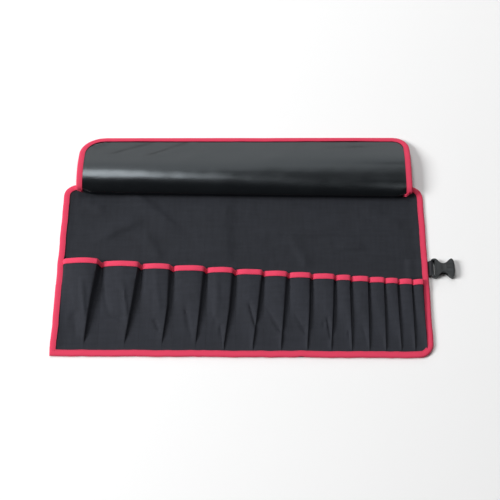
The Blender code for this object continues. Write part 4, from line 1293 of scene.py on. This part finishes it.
class TOOLROLL_OT_buckle(bpy.types.Operator):
    """Makes the socket half of the side release buckle."""

    bl_idname = "toolroll.buckle"
    bl_label = "Buckle"

    def execute(self, context):
        start = BUCKLE_LOW.x
        length = BUCKLE_HIGH.x - BUCKLE_LOW.x
        half = (BUCKLE_HIGH.y - BUCKLE_LOW.y) / 2 - 1.2 * MM
        height = BUCKLE_HIGH.z
        rows = np.asarray(rows_of(BUCKLE_OUTLINE), float)
        side = smooth_through(rows, 5)
        side[:, 1] = np.minimum(side[:, 1], 1.0)
        ring = np.concatenate([side, side[::-1] * (1.0, -1.0)])
        spots = np.column_stack([start + ring[:, 0] * length, ring[:, 1] * half])
        middle = np.array([start + length / 2, 0.0])
        # Each layer is a level and how far the outline is drawn in there, so that the edges are rounded
        layers = ((0.0, 1.3), (0.25, 0.55), (0.8, 0.12), (1.6, 0.0), (height / MM - 1.6, 0.0),
                  (height / MM - 0.8, 0.12), (height / MM - 0.25, 0.55), (height / MM, 1.3))
        points = []
        for level, drawn in layers:
            share = 1.0 - drawn * MM / np.linalg.norm(spots - middle, axis=1)
            drawn_spots = middle + (spots - middle) * share[:, None]
            points.append(np.column_stack([drawn_spots, np.full(len(ring), level * MM)]))
        count = len(ring)
        faces = []
        for layer in range(len(layers) - 1):
            for corner in range(count):
                after = (corner + 1) % count
                first, second = layer * count, (layer + 1) * count
                faces.append((first + corner, second + corner, second + after, first + after))
        rings = (0, (len(layers) - 1) * count)
        for first, flip in zip(rings, (False, True)):
            for corner in range(count // 2 - 1):
                quad = (first + corner, first + corner + 1, first + count - 2 - corner, first + count - 1 - corner)
                faces.append(quad[::-1] if flip else quad)
        piece = add_mesh("buckle_body", np.concatenate(points), faces)
        slot_start = start + BAR_LENGTH
        slot_end = slot_start + SLOT_LENGTH
        slot_half = STRAP_HIGH.y + GAP
        mouth_start = slot_end + 2 * BUCKLE_WALL
        over = height
        mouth_half = half - BUCKLE_RAIL
        cutters = [
            cut_box(piece, "slot_cutter", (slot_start, -slot_half, -over), (slot_end, slot_half, 2 * over)),
            cut_box(piece, "mouth_cutter", (mouth_start, -mouth_half, BUCKLE_WALL),
                    (start + length + over, mouth_half, height - BUCKLE_WALL), 0.6 * MM),
            cut_box(piece, "bar_top_cutter", (start - over, -slot_half, BAR_LEVEL + BAR_HEIGHT / 2),
                    (slot_start + GAP, slot_half, 2 * over)),
            cut_box(piece, "bar_under_cutter", (start - over, -slot_half, -over),
                    (slot_start + GAP, slot_half, BAR_LEVEL - BAR_HEIGHT / 2)),
        ]
        for place in (-0.42, 0.0, 0.42):
            cutters.append(cut_box(
                piece, "grip_cutter", (start + length * 0.66, place * half - 0.55 * MM, height - 0.45 * MM),
                (start + length * 0.90, place * half + 0.55 * MM, 2 * height), 0.0))
        settle(piece, cutters)
        material = moulded_plastic("moulded_plastic", context.scene.toolroll_colours.plastic)
        dress(piece, material, ["buckle"])
        return {"FINISHED"}


def add_area_light(name, place, aim, size, power):
    light = bpy.data.lights.new(name, "AREA")
    light.shape = "RECTANGLE"
    light.size, light.size_y = size
    light.energy = power
    lamp = bpy.data.objects.new(name, light)
    lamp.location = place
    lamp.rotation_euler = (Vector(aim) - Vector(place)).to_track_quat("-Z", "Y").to_euler()
    bpy.context.scene.collection.objects.link(lamp)
    return lamp


class TOOLROLL_OT_stage(bpy.types.Operator):
    """Makes the floor, the lights and the camera."""

    bl_idname = "toolroll.stage"
    bl_label = "Stage"

    def execute(self, context):
        stage = context.scene.toolroll_stage
        reach = 6.0
        corners = [(-reach, -reach, 0.0), (reach, -reach, 0.0), (reach, reach, 0.0), (-reach, reach, 0.0)]
        floor = add_mesh("stage_floor", corners, [(0, 1, 2, 3)])
        floor.location.z = -0.1 * MM
        floor.data.materials.append(pale_floor("pale_floor", stage.floor))
        world = bpy.data.worlds.new("surround")
        world.use_nodes = True
        world.node_tree.nodes["Background"].inputs["Color"].default_value = (1.0, 1.0, 1.0, 1.0)
        world.node_tree.nodes["Background"].inputs["Strength"].default_value = stage.sky
        context.scene.world = world
        add_area_light("key_light", (-4.4, -0.5, 2.9), (0.0, 0.0, 0.0), (2.2, 2.2), stage.key)
        add_area_light("top_light", (-0.95, 1.85, 4.0), (-0.2, 0.18, 0.0), (1.1, 1.35), stage.top)
        add_area_light("right_light", (1.7, 1.0, 4.0), (0.2, 0.18, 0.0), (1.4, 1.0), stage.right)
        add_area_light("back_light", (0.0, 3.1, 1.95), (0.0, 0.2, 0.0), (3.2, 2.9), stage.back)
        camera = bpy.data.cameras.new("photo_camera")
        camera.lens = CAMERA_LENS
        camera.sensor_width = CAMERA_SENSOR
        eye = bpy.data.objects.new("photo_camera", camera)
        eye.location = CAMERA_PLACE
        eye.rotation_euler = [math.radians(turn) for turn in CAMERA_TURN]
        context.scene.collection.objects.link(eye)
        context.scene.camera = eye
        context.scene.view_settings.view_transform = "Standard"
        return {"FINISHED"}


class TOOLROLL_PT_sidebar(bpy.types.Panel):
    """Lists the roll's pieces, sizes and colours."""

    bl_idname = "TOOLROLL_PT_sidebar"
    bl_label = "Tool Roll"
    bl_space_type = "VIEW_3D"
    bl_region_type = "UI"
    bl_category = "Tool Roll"

    def draw(self, context):
        for operator in OPERATORS:
            self.layout.operator(operator.bl_idname)
        for group in (context.scene.toolroll_sizes, context.scene.toolroll_colours, context.scene.toolroll_stage):
            box = self.layout.box()
            for name in group.__annotations__:
                box.prop(group, name)


GROUPS = {"toolroll_sizes": RollSizes, "toolroll_colours": RollColours, "toolroll_stage": RollStage}
OPERATORS = (
    TOOLROLL_OT_stage,
    TOOLROLL_OT_panel,
    TOOLROLL_OT_pockets,
    TOOLROLL_OT_pocket_tape,
    TOOLROLL_OT_edge_tape,
    TOOLROLL_OT_flap,
    TOOLROLL_OT_flap_tape,
    TOOLROLL_OT_stitching,
    TOOLROLL_OT_strap,
    TOOLROLL_OT_buckle,
)


def register():
    for group in GROUPS.values():
        bpy.utils.register_class(group)
    for name, group in GROUPS.items():
        setattr(bpy.types.Scene, name, PointerProperty(type=group))
    for operator in OPERATORS:
        bpy.utils.register_class(operator)
    bpy.utils.register_class(TOOLROLL_PT_sidebar)


def unregister():
    bpy.utils.unregister_class(TOOLROLL_PT_sidebar)
    for operator in reversed(OPERATORS):
        bpy.utils.unregister_class(operator)
    for name, group in GROUPS.items():
        delattr(bpy.types.Scene, name)
        bpy.utils.unregister_class(group)


def main():
    register()
    for operator in OPERATORS:
        family, name = operator.bl_idname.split(".")
        getattr(getattr(bpy.ops, family), name)()


if __name__ == "__main__":
    main()
